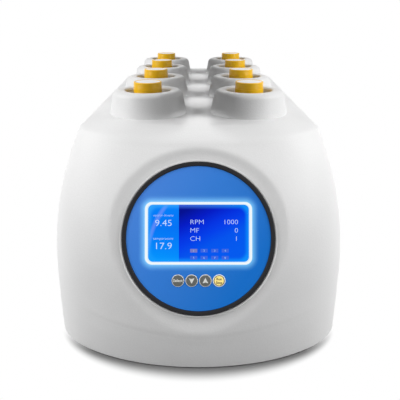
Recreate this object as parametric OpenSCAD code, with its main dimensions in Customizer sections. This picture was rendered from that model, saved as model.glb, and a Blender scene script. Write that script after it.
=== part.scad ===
// Bench bioreactor: eight spun 50 ml tubes in a long moulded housing with a round control dial in front.
// Origin at the middle of the footprint on the bench, +Z up, the dial faces -Y.

/* [Housing] */
// Width of the moulded housing
body_w = 354; // [344:1:370]
// Height of the deck above the bench
deck_z = 261.5; // [260:0.5:266]
// Wall of the moulded housing
wall = 4; // [3:0.5:5]
// Gap under the housing, taken up by the rubber feet
foot_h = 5; // [4:0.5:7]
// Height of the housing's lower edge above the bench
edge_h = 2.5; // [2:0.5:4]
// Height of the base band that tucks in under the housing
band_h = 38; // [34:1:42]
// How far the base band tucks in at its lower edge
band_tuck = 0.4; // [0.2:0.2:2]
// Height at which the sides begin to lean in
lean_z = 80; // [70:1:90]
// Radius of the sides' inward lean, seen from the front
lean_r = 497; // [480:1:520]
// Height lost from the deck to the shoulder line
shoulder_drop = 11.5; // [9:0.5:13]
// Depth of the rounded nose, seen from above
nose_d = 101.5; // [95:0.5:108]
// How far the nose's root moves back on the way up to the shoulder
nose_shift = 50; // [40:1:55]
// Radius of the nose's backward lean, seen from the side
nose_r = 340; // [330:5:400]
// Slope of the nose just above the base band, in degrees
nose_slope = 2; // [1:0.5:3]
// From the front end back to the deck's front edge
deck_front = 98.5; // [96:0.5:102]
// Height of the roll from the nose up to the deck
roll_h = 18.5; // [16:0.5:20]
// From the top of the rear wall forward to the deck's rear edge
deck_back = 8.4; // [6:0.2:12]
// From the deck's outer edge in to the joint of the deck panel
deck_joint = 6; // [5:0.5:7]
// Depth of the rounded rear corners, seen from above
tail_d = 60; // [50:1:70]
// Radius of the rear wall's forward lean, seen from the side
tail_r = 488; // [470:1:520]

/* [Channels] */
// From the housing's front end back to the first row of tubes
row_first = 173.5; // [170:0.5:178]
// Distance from row to row
row_pitch = 133; // [128:1:136]
// From the last row of tubes back to the housing's rear end
row_rear = 117.5; // [112:0.5:124]
// Distance from the centre plane to each column of tubes
column_x = 63.7; // [62:0.1:66]
// Height of the well collars above the deck
collar_h = 28.5; // [26:0.5:32]
// Radius of a collar at its root
collar_r = 48.6; // [47:0.2:50]
// Draft of a collar's outer wall, in degrees
collar_draft = 12; // [8:1:14]
// Radius of the round over a collar's outer top edge
collar_round = 8; // [5:0.5:9]
// Radius of a collar's opening
collar_bore = 28; // [27:0.2:29]
// Radius of the round over the lip of a collar's opening
lip_round = 3; // [2:0.5:4]
// Radius of a collar's spigot in the deck
spigot_r = 38; // [36:0.5:40]
// Length of a collar's spigot below the deck's upper face
spigot_l = 11; // [9:0.5:12]

/* [Tubes] */
// Length of a capped tube
tube_l = 115; // [112:1:116]
// Outer radius of a tube
tube_r = 14.5; // [14:0.1:15]
// Wall of a tube
tube_wall = 1.2; // [1:0.1:1.5]
// Height of a tube's conical end
cone_h = 15; // [13:1:17]
// Radius of the flat tip of the cone
tip_r = 3; // [2:0.5:4]
// Height of a cap
cap_h = 18; // [16:0.5:20]
// Radius of a cap at its lower edge
cap_r = 17.9; // [17.5:0.1:18.5]
// Radius of a cap at its upper edge
cap_top_r = 17.4; // [16.8:0.1:17.5]
// Thickness of a cap's top
cap_plate = 2; // [1.5:0.25:3]
// How far a cap stands above its collar
cap_show = 10; // [8:0.5:12]
// Radius of the vent membrane's seat
vent_r = 14; // [12:0.25:14.5]
// Depth of the vent membrane's seat
vent_seat = 0.8; // [0.5:0.1:1.2]

/* [Drives] */
// Outer radius of a tube holder
holder_r = 19.5; // [18.5:0.1:20]
// Radius of a tube holder's rim
holder_rim = 22.5; // [21:0.5:23]
// Height of a tube holder's rim
rim_h = 3; // [2:0.5:4]
// Gap between a tube holder's rim and its cap
rim_gap = 4; // [3:0.5:5]
// Floor of a tube holder
holder_floor = 4; // [3:0.5:5]
// Radius of a holder's hub
hub_r = 7; // [6:0.5:8]
// Radius of a holder's spindle
spindle_r = 4; // [3:0.5:5]
// Running clearance round a spindle
spindle_run = 0.05; // [0.02:0.01:0.08]
// Outer radius of a spindle bearing
bearing_r = 11; // [10:0.5:13]
// Thickness of the drive chassis
chassis_t = 8; // [7:0.5:10]
// Height of a drive motor
motor_h = 52; // [45:1:60]
// Radius of a drive motor's can
motor_r = 20; // [18:0.5:22]
// Depth of the spindle in the motor
spindle_grip = 12; // [10:1:15]
// Side of a thermal block
block_w = 58; // [54:1:60]
// Gap between a holder and its thermal block
block_gap = 2; // [1.5:0.25:2.5]
// How far a heat sink's fins stand out
fin_l = 26; // [20:1:30]

/* [Dial] */
// Backward tilt of the dial, in degrees
dial_tilt = 22; // [20:0.5:24]
// Height of the dial's centre
dial_z = 147.3; // [145:0.5:150]
// From the housing's front end back to the dial's centre
dial_back = 38; // [37:0.5:40]
// Radius of the flat dish round the dial
dish_r = 99.5; // [98:0.5:102]
// Outer radius of the black bezel
bezel_r = 85.5; // [84:0.5:87]
// Radius of the coloured fascia
fascia_r = 80.5; // [79.5:0.25:81.5]
// Thickness of the fascia
fascia_t = 2; // [1.5:0.25:2.5]
// How far the bezel stands above the dish
bezel_h = 3; // [2.5:0.25:4]
// Width of the display's glass
screen_w = 112; // [108:1:114]
// Height of the display's glass
screen_h = 63.5; // [60:0.5:65]
// Width of the lit frame round the display
glow_w = 3; // [2.5:0.5:5]
// From the dial's centre up to the display's centre
screen_up = 5.8; // [5:0.2:7]
// Radius of a key
key_r = 6.8; // [6:0.1:7]
// Gap between neighbouring keys
key_web = 1.6; // [1.4:0.1:2]
// From the dial's centre down to the keys
key_down_y = 46.6; // [45.5:0.2:48]
// How far a key goes in when pressed
key_travel = 0.6; // [0.4:0.1:0.8]
// Clearance between a key and its hole
key_gap = 0.35; // [0.3:0.05:0.4]

/* [Base and rear] */
// Thickness of the steel base plate
base_t = 3; // [2:0.5:4]
// Gap between the base plate and the housing
base_gap = 0.5; // [0.3:0.1:1]
// Radius of a rubber foot
foot_r = 15; // [13:0.5:17]
// Width of the rear panel
panel_w = 200; // [190:1:210]
// Height of the rear panel
panel_h = 66; // [62:1:70]
// Thickness of the rear panel
panel_t = 2; // [1.5:0.25:2.5]
// From the housing's rear end forward to the panel's face
panel_in = 11; // [10:0.5:13]
// Swing of the power switch's rocker from stop to stop, in degrees
rocker_swing = 16; // [12:1:20]
// Side of the square cooling fan
fan_w = 92; // [88:1:96]
// Depth of the cooling fan
fan_d = 25; // [22:1:28]

/* [Hidden] */
$fn = 48;

// Colours
SHELL_WHITE = "#e9eaec";
COLLAR_GREY = "#e2e3e5";
CAP_YELLOW = "#f0b51e";
TUBE_CLEAR = "#dfe6ea";
ANODISED = "#23252a";
ALUMINIUM = "#b9bdc2";
STEEL = "#9a9ea3";
BOARD_GREEN = "#1f6b3e";
RUBBER = "#1c1c1e";
BEZEL_BLACK = "#2b2c30";
FASCIA_BLUE = "#2d70c8";
GLOW = "#e8fbff";
KEY_GREY = "#4b4f4c";
KEY_CREAM = "#ffe680";

// Housing outline
body_l = row_first + 3 * row_pitch + row_rear;
front_y = -body_l / 2;
rear_y = body_l / 2;
shoulder_z = deck_z - shoulder_drop;
deck_half = column_x + collar_r + 1;
row_1 = front_y + row_first;
row_last = row_1 + 3 * row_pitch;
row_mid = (row_1 + row_last) / 2;

// Drop of a circle of radius r, measured at distance d from its highest point
function sag(r, d) = r - sqrt(r * r - d * d);
function mix(a, b, t) = a + (b - a) * t;
function tuck(z) = z < band_h ? band_tuck * (1 - (z - edge_h) / (band_h - edge_h)) : 0;
function side_at(z) = z < lean_z ? 0 : sag(lean_r, min(z, shoulder_z) - lean_z);
function half_w(z) = z <= shoulder_z ? body_w / 2 - side_at(z) - tuck(z)
    : mix(body_w / 2 - side_at(z), deck_half, (z - shoulder_z) / shoulder_drop);
function nose_back(z) = z < band_h ? tuck(z)
    : sag(nose_r, z - band_h) + (z - band_h) * tan(nose_slope);
function nose_y(z) = front_y + (z <= deck_z - roll_h ? nose_back(z)
    : mix(nose_back(deck_z - roll_h), deck_front, pow((z - deck_z + roll_h) / roll_h, 1.3)));
function nose_root(z) = front_y + nose_d
    + nose_shift * pow(max(0, z - band_h) / (shoulder_z - band_h), 4);
function tail_in(z) = z < lean_z ? tuck(z) : sag(tail_r, z - lean_z);
deck_rear = rear_y - tail_in(deck_z - roll_h) - deck_back;
function tail_y(z) = z <= deck_z - roll_h ? rear_y - tail_in(z)
    : mix(rear_y - tail_in(deck_z - roll_h), deck_rear, pow((z - deck_z + roll_h) / roll_h, 1.3));
function tail_root(z) = rear_y - tail_d - tail_in(min(z, deck_z - roll_h));

// The closed outline of the housing at height z, drawn in by g, with m steps round each end
function outline(z, g, m) = concat(
    [for (i = [0:m]) let (a = 180 * i / m)
        [(half_w(z) - g) * cos(a), nose_root(z) - (nose_root(z) - nose_y(z) - g) * sin(a)]],
    [for (i = [0:m]) let (a = 180 * i / m)
        [-(half_w(z) - g) * cos(a), tail_root(z) + (tail_y(z) - tail_root(z) - g) * sin(a)]]);

// A closed solid through rings: each ring is [height, height whose outline it takes, inset]
module loft(rings, m) {
    n = 2 * (m + 1);
    last = len(rings) - 1;
    points = [for (r = rings) for (p = outline(r[1], r[2], m)) [p[0], p[1], r[0]]];
    sides = [for (k = [0:last - 1]) for (i = [0:n - 1]) let (j = (i + 1) % n, a = k * n)
        each [[a + i, a + j, a + n + j], [a + i, a + n + j, a + n + i]]];
    floor_face = [[for (i = [0:n - 1]) n - 1 - i]];
    top_face = [[for (i = [0:n - 1]) last * n + i]];
    polyhedron(points, concat(floor_face, sides, top_face));
}

// Steps round each end of the housing, outside and inside
OUTER_STEPS = 28;
INNER_STEPS = 18;
SHELL_RINGS = concat(
    [for (z = [edge_h, band_h]) [z, z, 0]],
    [for (i = [1:13]) let (z = mix(band_h, deck_z - roll_h, i / 13)) [z, z, 0]],
    [for (z = [shoulder_z, mix(shoulder_z, deck_z, 0.4), mix(shoulder_z, deck_z, 0.75), deck_z]) [z, z, 0]]);
CAVITY_RINGS = concat(
    [for (z = [edge_h - 1, band_h]) [z, max(z, edge_h), wall]],
    [for (i = [1:6]) let (z = mix(band_h, shoulder_z - wall, i / 6)) [z, z, wall]],
    [[deck_z - wall, deck_z, 0]]);

// Channels: number 1 is front left, number 2 front right, and so on to the rear
function channel_x(n) = n % 2 == 1 ? -column_x : column_x;
function channel_y(n) = row_1 + floor((n - 1) / 2) * row_pitch;
module at_channel(n) translate([channel_x(n), channel_y(n), 0]) children();
module at_channels() for (n = [1:8]) at_channel(n) children();
// Each channel with local X pointing away from the centre plane
module at_channels_outward() for (n = [1:8]) at_channel(n) rotate([0, 0, 180 * (n % 2)]) children();

collar_top = deck_z + collar_h;
cap_top = collar_top + cap_show;
tube_tip = cap_top - tube_l;
tube_top = cap_top - cap_plate;
holder_bottom = tube_tip - holder_floor;
holder_top = cap_top - cap_h - rim_gap;
hub_l = 11;
axial_gap = 0.2;
chassis_top = holder_bottom - hub_l;
chassis_z = chassis_top - chassis_t;
base_z = foot_h + base_t;
block_bore = holder_r + block_gap;
block_top = deck_z - spigot_l - 1;
window_z = tube_tip + cone_h + 8;
window_r = 2.5;

// Dial: local Z points out of the dish, local Y points up the dish
dial_y = front_y + dial_back;
module on_dial() translate([0, dial_y, dial_z]) rotate([90 - dial_tilt, 0, 0]) children();
slab_t = 5;
ledge_w = 4.5;
dial_hole = bezel_r - 3.5;
dial_fit = 0.2;
fascia_back = -0.5;
fascia_top = fascia_back + fascia_t;
flange_t = 2.5;
flange_w = 1.5;
frame_w = screen_w + 2 * glow_w;
frame_h = screen_h + 2 * glow_w;
frame_round = 6;
lcd_z = fascia_back - flange_t;
lcd_t = 11;
key_top = fascia_top + 0.7;
key_bottom = fascia_back - 3.5;
board_t = 1.6;
switch_h = 1.8;
keys = 4;
key_pitch = 2 * key_r + key_web;
module at_key(i) translate([(i - (keys - 1) / 2) * key_pitch, -key_down_y, 0]) children();

// Rear panel
panel_y = rear_y - panel_in;
panel_z = 25 + panel_h / 2;
panel_ledge = 9;
panel_slab = 4;
inlet_edge = 30;
switch_step = 45;
usb_edge = 40;
inlet_x = inlet_edge - panel_w / 2;
switch_x = inlet_x + switch_step;
usb_x = panel_w / 2 - usb_edge;

// Screws, all alike: M4 by 12, pan head
screw_r = 2;
screw_l = 12;
head_r = 3.6;
head_h = 2.4;
thread_gap = 0.05;
boss_w = 14;
boss_h = 16;
boss_ys = [-180, 30, 235];
foot_x = 125;
foot_ys = [-232, 250];
boss_x = body_w / 2 - wall - boss_w / 2;
panel_screw_x = (panel_w - panel_ledge) / 2;
panel_screw_z = (panel_h - panel_ledge) / 2;

// A rectangle with round corners, centred
function corner_arc(x, y, r, start) =
    [for (i = [0:6]) let (a = start + 15 * i) [x + r * cos(a), y + r * sin(a)]];
function round_rect(w, h, r) = concat(
    corner_arc(w / 2 - r, h / 2 - r, r, 0), corner_arc(r - w / 2, h / 2 - r, r, 90),
    corner_arc(r - w / 2, r - h / 2, r, 180), corner_arc(w / 2 - r, r - h / 2, r, 270));
module plate(w, h, r, t) linear_extrude(t) polygon(round_rect(w, h, r));

// ---- Housing ----

ledge_in = 3.5;
ledge_out = 4 * wall;
ledge_t = 4;
// Length of a cutter that runs well past what it cuts
spare = 60;

module body_shell() {
    bosses = [for (s = [-1, 1], y = boss_ys) [s * boss_x - boss_w / 2 + s, y - boss_w / 2, base_z]];
    color(SHELL_WHITE) difference() {
        loft(SHELL_RINGS, OUTER_STEPS);
        difference() {
            loft(CAVITY_RINGS, INNER_STEPS);
            on_dial() translate([0, 0, -slab_t]) cylinder(h = spare, r = dish_r + wall);
            translate([0, panel_y - panel_t - panel_slab + spare / 2, panel_z])
                cube([panel_w + 2 * panel_slab, spare, panel_h + 2 * panel_slab], center = true);
            for (b = bosses) translate(b) cube([boss_w, boss_w, boss_h]);
            translate([0, 0, deck_z - wall - ledge_t]) linear_extrude(spare)
                polygon(outline(deck_z, -ledge_out, OUTER_STEPS));
        }
        translate([0, 0, deck_z - wall]) linear_extrude(spare)
            polygon(outline(deck_z, deck_joint, OUTER_STEPS));
        translate([0, 0, deck_z - wall - ledge_t - 1]) linear_extrude(spare)
            polygon(outline(deck_z, deck_joint + ledge_in, OUTER_STEPS));
        on_dial() cylinder(h = spare, r = dish_r);
        on_dial() translate([0, 0, -slab_t - spare / 2]) cylinder(h = spare, r = dial_hole);
        translate([0, panel_y - panel_t + spare / 2, panel_z])
            cube([panel_w + 2 * dial_fit, spare, panel_h + 2 * dial_fit], center = true);
        translate([0, panel_y, panel_z])
            cube([panel_w - 2 * panel_ledge, spare, panel_h - 2 * panel_ledge], center = true);
        at_base_screws() translate([0, 0, base_z - 1]) cylinder(h = boss_h - 1, r = screw_r + thread_gap);
        at_panel_screws() rotate([90, 0, 0]) cylinder(h = 2 * screw_l, r = screw_r + thread_gap);
    }
}

// Flat panel on the housing's ledge, with a hole for each collar's spigot
module top_deck() {
    color(SHELL_WHITE) difference() {
        translate([0, 0, deck_z - wall]) linear_extrude(wall)
            polygon(outline(deck_z, deck_joint + dial_fit, OUTER_STEPS));
        at_channels() translate([0, 0, deck_z - wall - 1]) cylinder(h = wall + 2, r = spigot_r + dial_fit);
    }
}

module well_collar(n) {
    top = collar_top;
    arc_x = collar_r - (collar_h - collar_round) * tan(collar_draft) - collar_round * cos(collar_draft);
    outer_arc = [for (i = [0:6]) let (a = mix(collar_draft, 90, i / 6))
        [arc_x + collar_round * cos(a), top - collar_round + collar_round * sin(a)]];
    lip_arc = [for (i = [0:4]) let (a = 90 + 90 * i / 4)
        [collar_bore + lip_round + lip_round * cos(a), top - lip_round + lip_round * sin(a)]];
    color(COLLAR_GREY) at_channel(n) rotate_extrude() polygon(concat(
        [[collar_bore, deck_z - spigot_l], [spigot_r, deck_z - spigot_l],
            [spigot_r, deck_z], [collar_r, deck_z]],
        outer_arc, lip_arc));
}

// ---- Tubes ----

module tube(n) {
    r = tube_r;
    w = tube_wall;
    color(TUBE_CLEAR) at_channel(n) rotate_extrude() polygon([
        [0, tube_tip], [tip_r, tube_tip], [r, tube_tip + cone_h], [r, tube_top], [r - w, tube_top],
        [r - w, tube_tip + cone_h + w / 2], [tip_r - w / 2, tube_tip + w], [0, tube_tip + w]]);
}

module tube_cap(n) {
    skirt = cap_h - cap_show + 1.5;
    thread = tube_r + 0.15;
    color(CAP_YELLOW) at_channel(n) rotate_extrude() polygon([
        [thread, cap_top - cap_h], [cap_r, cap_top - cap_h], [cap_r, cap_top - cap_h + skirt],
        [cap_r - 0.5, cap_top - cap_h + skirt + 0.5], [cap_top_r, cap_top - 0.8], [cap_top_r - 0.6, cap_top],
        [vent_r, cap_top], [vent_r, cap_top - vent_seat], [vent_r - 3, cap_top - vent_seat],
        [vent_r - 3, tube_top], [thread, tube_top]]);
}

module tube_holder(n) {
    bore = tube_r + 0.15;
    color(ANODISED) difference() {
        at_channel(n) rotate_extrude() polygon([
            [0, chassis_z - spindle_grip], [spindle_r, chassis_z - spindle_grip],
            [spindle_r, chassis_top + axial_gap],
            [hub_r, chassis_top + axial_gap], [hub_r, holder_bottom], [holder_r, holder_bottom],
            [holder_r, holder_top - rim_h], [holder_rim, holder_top - rim_h], [holder_rim, holder_top],
            [bore, holder_top], [bore, tube_tip], [0, tube_tip]]);
        at_channel(n) translate([-holder_r - 1, 0, window_z]) rotate([0, 90, 0])
            cylinder(h = 2 * holder_r + 2, r = window_r);
    }
}

// ---- Drives and temperature control ----

module drive_chassis() {
    deck_x = column_x + block_w / 2 + 12;
    leg_w = 16;
    start = row_1 - block_w / 2 - 14;
    end = row_last + block_w / 2 + 14;
    color(ALUMINIUM) difference() {
        union() {
            translate([0, (start + end) / 2, chassis_z]) plate(2 * deck_x, end - start, 10, chassis_t);
            for (s = [-1, 1], y = [start + leg_w, row_mid, end - leg_w])
                translate([s * (deck_x - leg_w / 2) - leg_w / 2, y - leg_w / 2, base_z])
                    cube([leg_w, leg_w, chassis_z - base_z + 1]);
        }
        at_channels() translate([0, 0, chassis_z - 1]) cylinder(h = chassis_t + 2, r = bearing_r);
    }
}

module spindle_bearings() {
    color(STEEL) at_channels() translate([0, 0, chassis_z]) difference() {
        cylinder(h = chassis_t, r = bearing_r);
        translate([0, 0, -1]) cylinder(h = chassis_t + 2, r = spindle_r + spindle_run);
    }
}

module drive_motors() {
    flange_w = 2 * motor_r + 2;
    color(STEEL) at_channels() difference() {
        union() {
            translate([0, 0, chassis_z - motor_h]) cylinder(h = motor_h - 3, r = motor_r);
            translate([0, 0, chassis_z - 3]) plate(flange_w, flange_w, 4, 3);
        }
        translate([0, 0, chassis_z - spindle_grip - 2])
            cylinder(h = spindle_grip + 3, r = spindle_r + spindle_run);
    }
}

module thermo_blocks() {
    color(ANODISED) at_channels() difference() {
        translate([0, 0, chassis_top]) plate(block_w, block_w, 5, block_top - chassis_top);
        translate([0, 0, chassis_top - 1]) cylinder(h = block_top - chassis_top + 2, r = block_bore);
        translate([-block_w / 2 - 1, 0, window_z]) rotate([0, 90, 0]) cylinder(h = block_w + 2, r = window_r);
    }
}

module heat_sinks() {
    back = 4;
    fin_t = 1.6;
    fins = 7;
    fin_pitch = (block_w - fin_t) / (fins - 1);
    sink_h = 58;
    comb = concat([[0, 0], [0, block_w]], [for (i = [fins - 1:-1:0]) let (y = i * fin_pitch)
        each [[back, y + fin_t], [back + fin_l, y + fin_t], [back + fin_l, y], [back, y]]]);
    color(ALUMINIUM) at_channels_outward()
        translate([block_w / 2, -block_w / 2, chassis_top]) linear_extrude(sink_h)
            polygon([for (i = [0:len(comb) - 2]) comb[i]]);
}

// An optical sensor board beside each channel's window
module sensor_boards() {
    board_w = 30;
    board_h = 36;
    led_l = 8;
    at_channels_outward() union() {
        translate([-block_w / 2 - board_t, -board_w / 2, window_z - board_h / 2])
            cube([board_t, board_w, board_h]);
        translate([-block_w / 2 - 1, 0, window_z]) rotate([0, 90, 0]) cylinder(h = led_l, r = window_r - 0.2);
    }
}

// ---- Dial ----

module dial_bezel() {
    ledge_r = fascia_r - ledge_w;
    color(BEZEL_BLACK) on_dial() rotate_extrude() polygon([
        [ledge_r, -slab_t - 1], [dial_hole - dial_fit, -slab_t - 1], [dial_hole - dial_fit, 0], [bezel_r, 0],
        [bezel_r, bezel_h - 1.5], [bezel_r - 1.5, bezel_h], [fascia_r + 0.8, bezel_h - 0.3],
        [fascia_r, fascia_top - 0.3], [fascia_r, fascia_back], [ledge_r, fascia_back]]);
}

module fascia() {
    color(FASCIA_BLUE) on_dial() difference() {
        translate([0, 0, fascia_back]) cylinder(h = fascia_t, r = fascia_r - dial_fit);
        translate([0, screen_up, fascia_back - 1])
            plate(frame_w + dial_fit, frame_h + dial_fit, frame_round, fascia_t + 2);
        for (i = [0:keys - 1])
            at_key(i) translate([0, 0, fascia_back - 1]) cylinder(h = fascia_t + 2, r = key_r + key_gap);
    }
}

module light_frame() {
    color(GLOW) on_dial() translate([0, screen_up, 0]) difference() {
        union() {
            translate([0, 0, fascia_back - 1]) plate(frame_w, frame_h, frame_round, fascia_t + 1.2);
            translate([0, 0, lcd_z])
                plate(frame_w + 2 * flange_w, frame_h + 2 * flange_w, frame_round, flange_t);
        }
        translate([0, 0, lcd_z - 1]) plate(screen_w, screen_h, 3, fascia_t + flange_t + 3);
    }
}

module lcd_module() {
    glass_gap = 0.2;
    color(ANODISED) on_dial() translate([0, screen_up, 0]) union() {
        translate([0, 0, lcd_z - lcd_t]) plate(frame_w, frame_h, 1, lcd_t);
        translate([0, 0, lcd_z - 1]) plate(screen_w - glass_gap, screen_h - glass_gap, 3, fascia_top - lcd_z);
    }
}

module key_board() {
    board_w = keys * key_pitch + 14;
    board_h = 20;
    board_z = key_bottom - key_travel - 0.1 - switch_h;
    post_x = board_w / 2 - 4;
    color(BOARD_GREEN) on_dial() union() {
        translate([0, -key_down_y, board_z - board_t]) plate(board_w, board_h, 2, board_t);
        for (i = [0:keys - 1])
            at_key(i) translate([-3, -3, board_z - 0.2]) cube([6, 6, switch_h + 0.2]);
        for (s = [-1, 1]) translate([s * post_x, -key_down_y, board_z - 0.5])
            cylinder(h = fascia_back - board_z + 0.5, r = 2);
    }
}

module key(i, shade) {
    lip = key_web / 2 - 0.2;
    color(shade) on_dial() at_key(i) rotate_extrude() polygon([
        [0, key_bottom], [key_r + lip, key_bottom], [key_r + lip, fascia_back - key_gap - 1.2],
        [key_r, fascia_back - key_gap - 1.2], [key_r, key_top - 0.6], [key_r - 0.6, key_top], [0, key_top]]);
}
module key_select() key(0, KEY_GREY);
module key_down() key(1, KEY_GREY);
module key_up() key(2, KEY_GREY);
module key_run() key(3, KEY_CREAM);

// ---- Base ----

module at_base_screws() for (s = [-1, 1], y = boss_ys) translate([s * boss_x, y, 0]) children();
module at_feet() for (s = [-1, 1], y = foot_ys) translate([s * foot_x, y, 0]) children();

module base_plate() {
    slot_w = 4;
    slots = 9;
    slot_pitch = 2 * slot_w;
    grille_r = fan_w / 2 - 6;
    color(STEEL) difference() {
        translate([0, 0, foot_h]) linear_extrude(base_t)
            polygon(outline(foot_h, wall + base_gap, INNER_STEPS));
        for (i = [0:slots - 1])
            let (y = (i - (slots - 1) / 2) * slot_pitch, reach = sqrt(grille_r * grille_r - y * y))
                translate([0, row_mid + y, foot_h - 1])
                    plate(2 * reach, slot_w, slot_w / 2 - 0.01, base_t + 2);
        at_base_screws() translate([0, 0, foot_h - 1]) cylinder(h = base_t + 2, r = screw_r + thread_gap);
        at_feet() translate([0, 0, foot_h - 1]) cylinder(h = base_t + 2, r = screw_r + thread_gap);
    }
}

module feet() {
    pocket = 1.2;
    color(RUBBER) at_feet() difference() {
        cylinder(h = foot_h, r1 = foot_r - 1, r2 = foot_r);
        translate([0, 0, -1]) cylinder(h = foot_h + 2, r = screw_r + thread_gap);
        translate([0, 0, -1]) cylinder(h = 1 + pocket + head_h, r = head_r + 0.4);
    }
}

// One screw, its shank along +Z from the underside of its head at the origin
module screw() {
    translate([0, 0, -head_h]) difference() {
        cylinder(h = head_h, r1 = head_r - 0.6, r2 = head_r);
        translate([0, 0, -1]) cylinder(h = 2.2, r = 1.5, $fn = 6);
    }
    translate([0, 0, -0.01]) cylinder(h = screw_l + 0.01, r = screw_r);
}

module screws() {
    color(STEEL) {
        at_base_screws() translate([0, 0, foot_h]) screw();
        at_feet() translate([0, 0, 1.2 + head_h]) screw();
        at_panel_screws() rotate([90, 0, 0]) screw();
    }
}

// ---- Power, cooling and electronics ----

module control_board() {
    board_w = 150;
    board_l = 100;
    board_back = 25;
    post_h = 8;
    post_r = 3;
    post_in = 6;
    port_w = 11;
    port_l = 8;
    port_h = 9;
    port_pitch = 16;
    port_in = 12;
    chip_w = 24;
    chip_h = 3;
    translate([0, row_1 - board_back, base_z]) union() {
        translate([0, 0, post_h]) plate(board_w, board_l, 3, board_t);
        for (sx = [-1, 1], sy = [-1, 1])
            translate([sx * (board_w / 2 - post_in), sy * (board_l / 2 - post_in), 0])
                cylinder(h = post_h + 0.5, r = post_r);
        for (i = [0:7])
            translate([(i - 3.5) * port_pitch - port_w / 2, board_l / 2 - port_in, post_h + 1])
                cube([port_w, port_l, port_h]);
        translate([-chip_w / 2, -chip_w / 2, post_h + 1]) cube([chip_w, chip_w, chip_h]);
    }
}

module circuit_boards() color(BOARD_GREEN) {
    control_board();
    sensor_boards();
}

module power_supply() {
    supply_w = 160;
    supply_l = 98;
    supply_h = 38;
    supply_forward = 6;
    color(STEEL) translate([0, row_last - supply_forward, base_z]) plate(supply_w, supply_l, 2, supply_h);
}

module fan_housing() {
    bore = fan_w / 2 - 3;
    color(RUBBER) translate([0, row_mid, base_z]) difference() {
        union() {
            difference() {
                plate(fan_w, fan_w, 5, fan_d);
                translate([0, 0, -1]) cylinder(h = fan_d + 2, r = bore);
            }
            for (a = [45, 135]) rotate([0, 0, a]) translate([-bore - 1, -2.5, 0]) cube([2 * bore + 2, 5, 3]);
            cylinder(h = 4, r = 17);
            cylinder(h = 10, r = 6);
        }
        translate([0, 0, 2]) cylinder(h = 10, r = 2 + spindle_run);
    }
}

module fan_rotor() {
    blades = 7;
    hub = 18;
    tip = fan_w / 2 - 5;
    pitch_angle = 38;
    color(RUBBER) translate([0, row_mid, base_z]) union() {
        difference() {
            translate([0, 0, 5]) cylinder(h = fan_d - 6, r = hub);
            translate([0, 0, 4]) cylinder(h = fan_d - 9, r = hub - 2);
        }
        translate([0, 0, 3]) cylinder(h = fan_d - 6, r = 2);
        for (i = [0:blades - 1]) rotate([0, 0, 360 * i / blades])
            translate([hub - 1, 0, fan_d / 2 + 2]) rotate([pitch_angle, 0, 0])
                translate([0, -11, -0.8]) cube([tip - hub, 22, 1.6]);
    }
}

// ---- Rear panel ----

module at_panel_screws() for (sx = [-1, 1], sz = [-1, 1])
    translate([sx * panel_screw_x, panel_y, panel_z + sz * panel_screw_z]) children();
// A place on the panel's face, local Z out of the panel and local Y up
module on_panel(x) translate([x, panel_y, panel_z]) rotate([90, 0, 180]) children();

inlet_w = 27;
inlet_h = 20;
switch_w = 13;
switch_h_face = 19;
usb_w = 12;
usb_h = 11;
port_fit = 0.1;
// Warm air leaves through upright slots between the switch and the data port
vents = 6;
vent_x = 0;
vent_pitch = 8;
vent_w = 4;
vent_l = 36;

module rear_panel() {
    color(STEEL) difference() {
        translate([0, panel_y, panel_z]) rotate([90, 0, 0]) plate(panel_w, panel_h, 3, panel_t);
        on_panel(inlet_x) translate([0, 0, -panel_t - 1])
            plate(inlet_w + 2 * port_fit, inlet_h + 2 * port_fit, 1, panel_t + 2);
        on_panel(switch_x) translate([0, 0, -panel_t - 1])
            plate(switch_w + 2 * port_fit, switch_h_face + 2 * port_fit, 1, panel_t + 2);
        on_panel(usb_x) translate([0, 0, -panel_t - 1])
            plate(usb_w + 2 * port_fit, usb_h + 2 * port_fit, 1, panel_t + 2);
        at_panel_screws() translate([0, 1, 0]) rotate([90, 0, 0])
            cylinder(h = panel_t + 2, r = screw_r + thread_gap);
        for (i = [0:vents - 1])
            on_panel(vent_x + i * vent_pitch) translate([0, 0, -panel_t - 1])
                plate(vent_w, vent_l, vent_w / 2 - 0.01, panel_t + 2);
    }
}

module power_inlet() {
    depth = 20;
    socket_w = 24;
    socket_h = 16.5;
    socket_d = 16;
    pin_l = 10;
    color(RUBBER) on_panel(inlet_x) union() {
        difference() {
            union() {
                translate([0, 0, -depth]) plate(inlet_w, inlet_h, 1, depth + 0.5);
                plate(inlet_w + 4, inlet_h + 4, 2, 2);
            }
            translate([0, 0, 2 - socket_d]) plate(socket_w, socket_h, 3, socket_d + 1);
        }
        for (p = [[-7, -2], [7, -2], [0, 2]])
            translate([p[0] - 1, p[1] - 2, 1.5 - socket_d]) cube([2, 4, pin_l]);
    }
}

rocker_w = switch_w - 2.8;
rocker_half = 7.2;
pivot_z = -1;
pivot_r = 1.2;

module switch_housing() {
    depth = 12;
    color(RUBBER) on_panel(switch_x) difference() {
        union() {
            translate([0, 0, -depth]) plate(switch_w, switch_h_face, 1, depth + 0.5);
            plate(switch_w + 4, switch_h_face + 4, 1.5, 1.5);
        }
        translate([0, 0, -8]) plate(switch_w - 2, switch_h_face - 2, 0.5, 12);
        translate([-switch_w / 2 - 1, 0, pivot_z]) rotate([0, 90, 0])
            cylinder(h = switch_w + 2, r = pivot_r + 0.05);
    }
}

module switch_rocker() {
    color(RUBBER) on_panel(switch_x) translate([0, 0, pivot_z]) rotate([rocker_swing / 2, 0, 0]) union() {
        rotate([90, 0, 90]) translate([0, 0, -rocker_w / 2]) linear_extrude(rocker_w) polygon([
            [-rocker_half + 2, -3], [rocker_half - 2, -3],
            [rocker_half, 3.8], [0, 2.8], [-rocker_half, 3.8]]);
        translate([-switch_w / 2 + 0.2, 0, 0]) rotate([0, 90, 0]) cylinder(h = switch_w - 0.4, r = pivot_r);
    }
}

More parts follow.
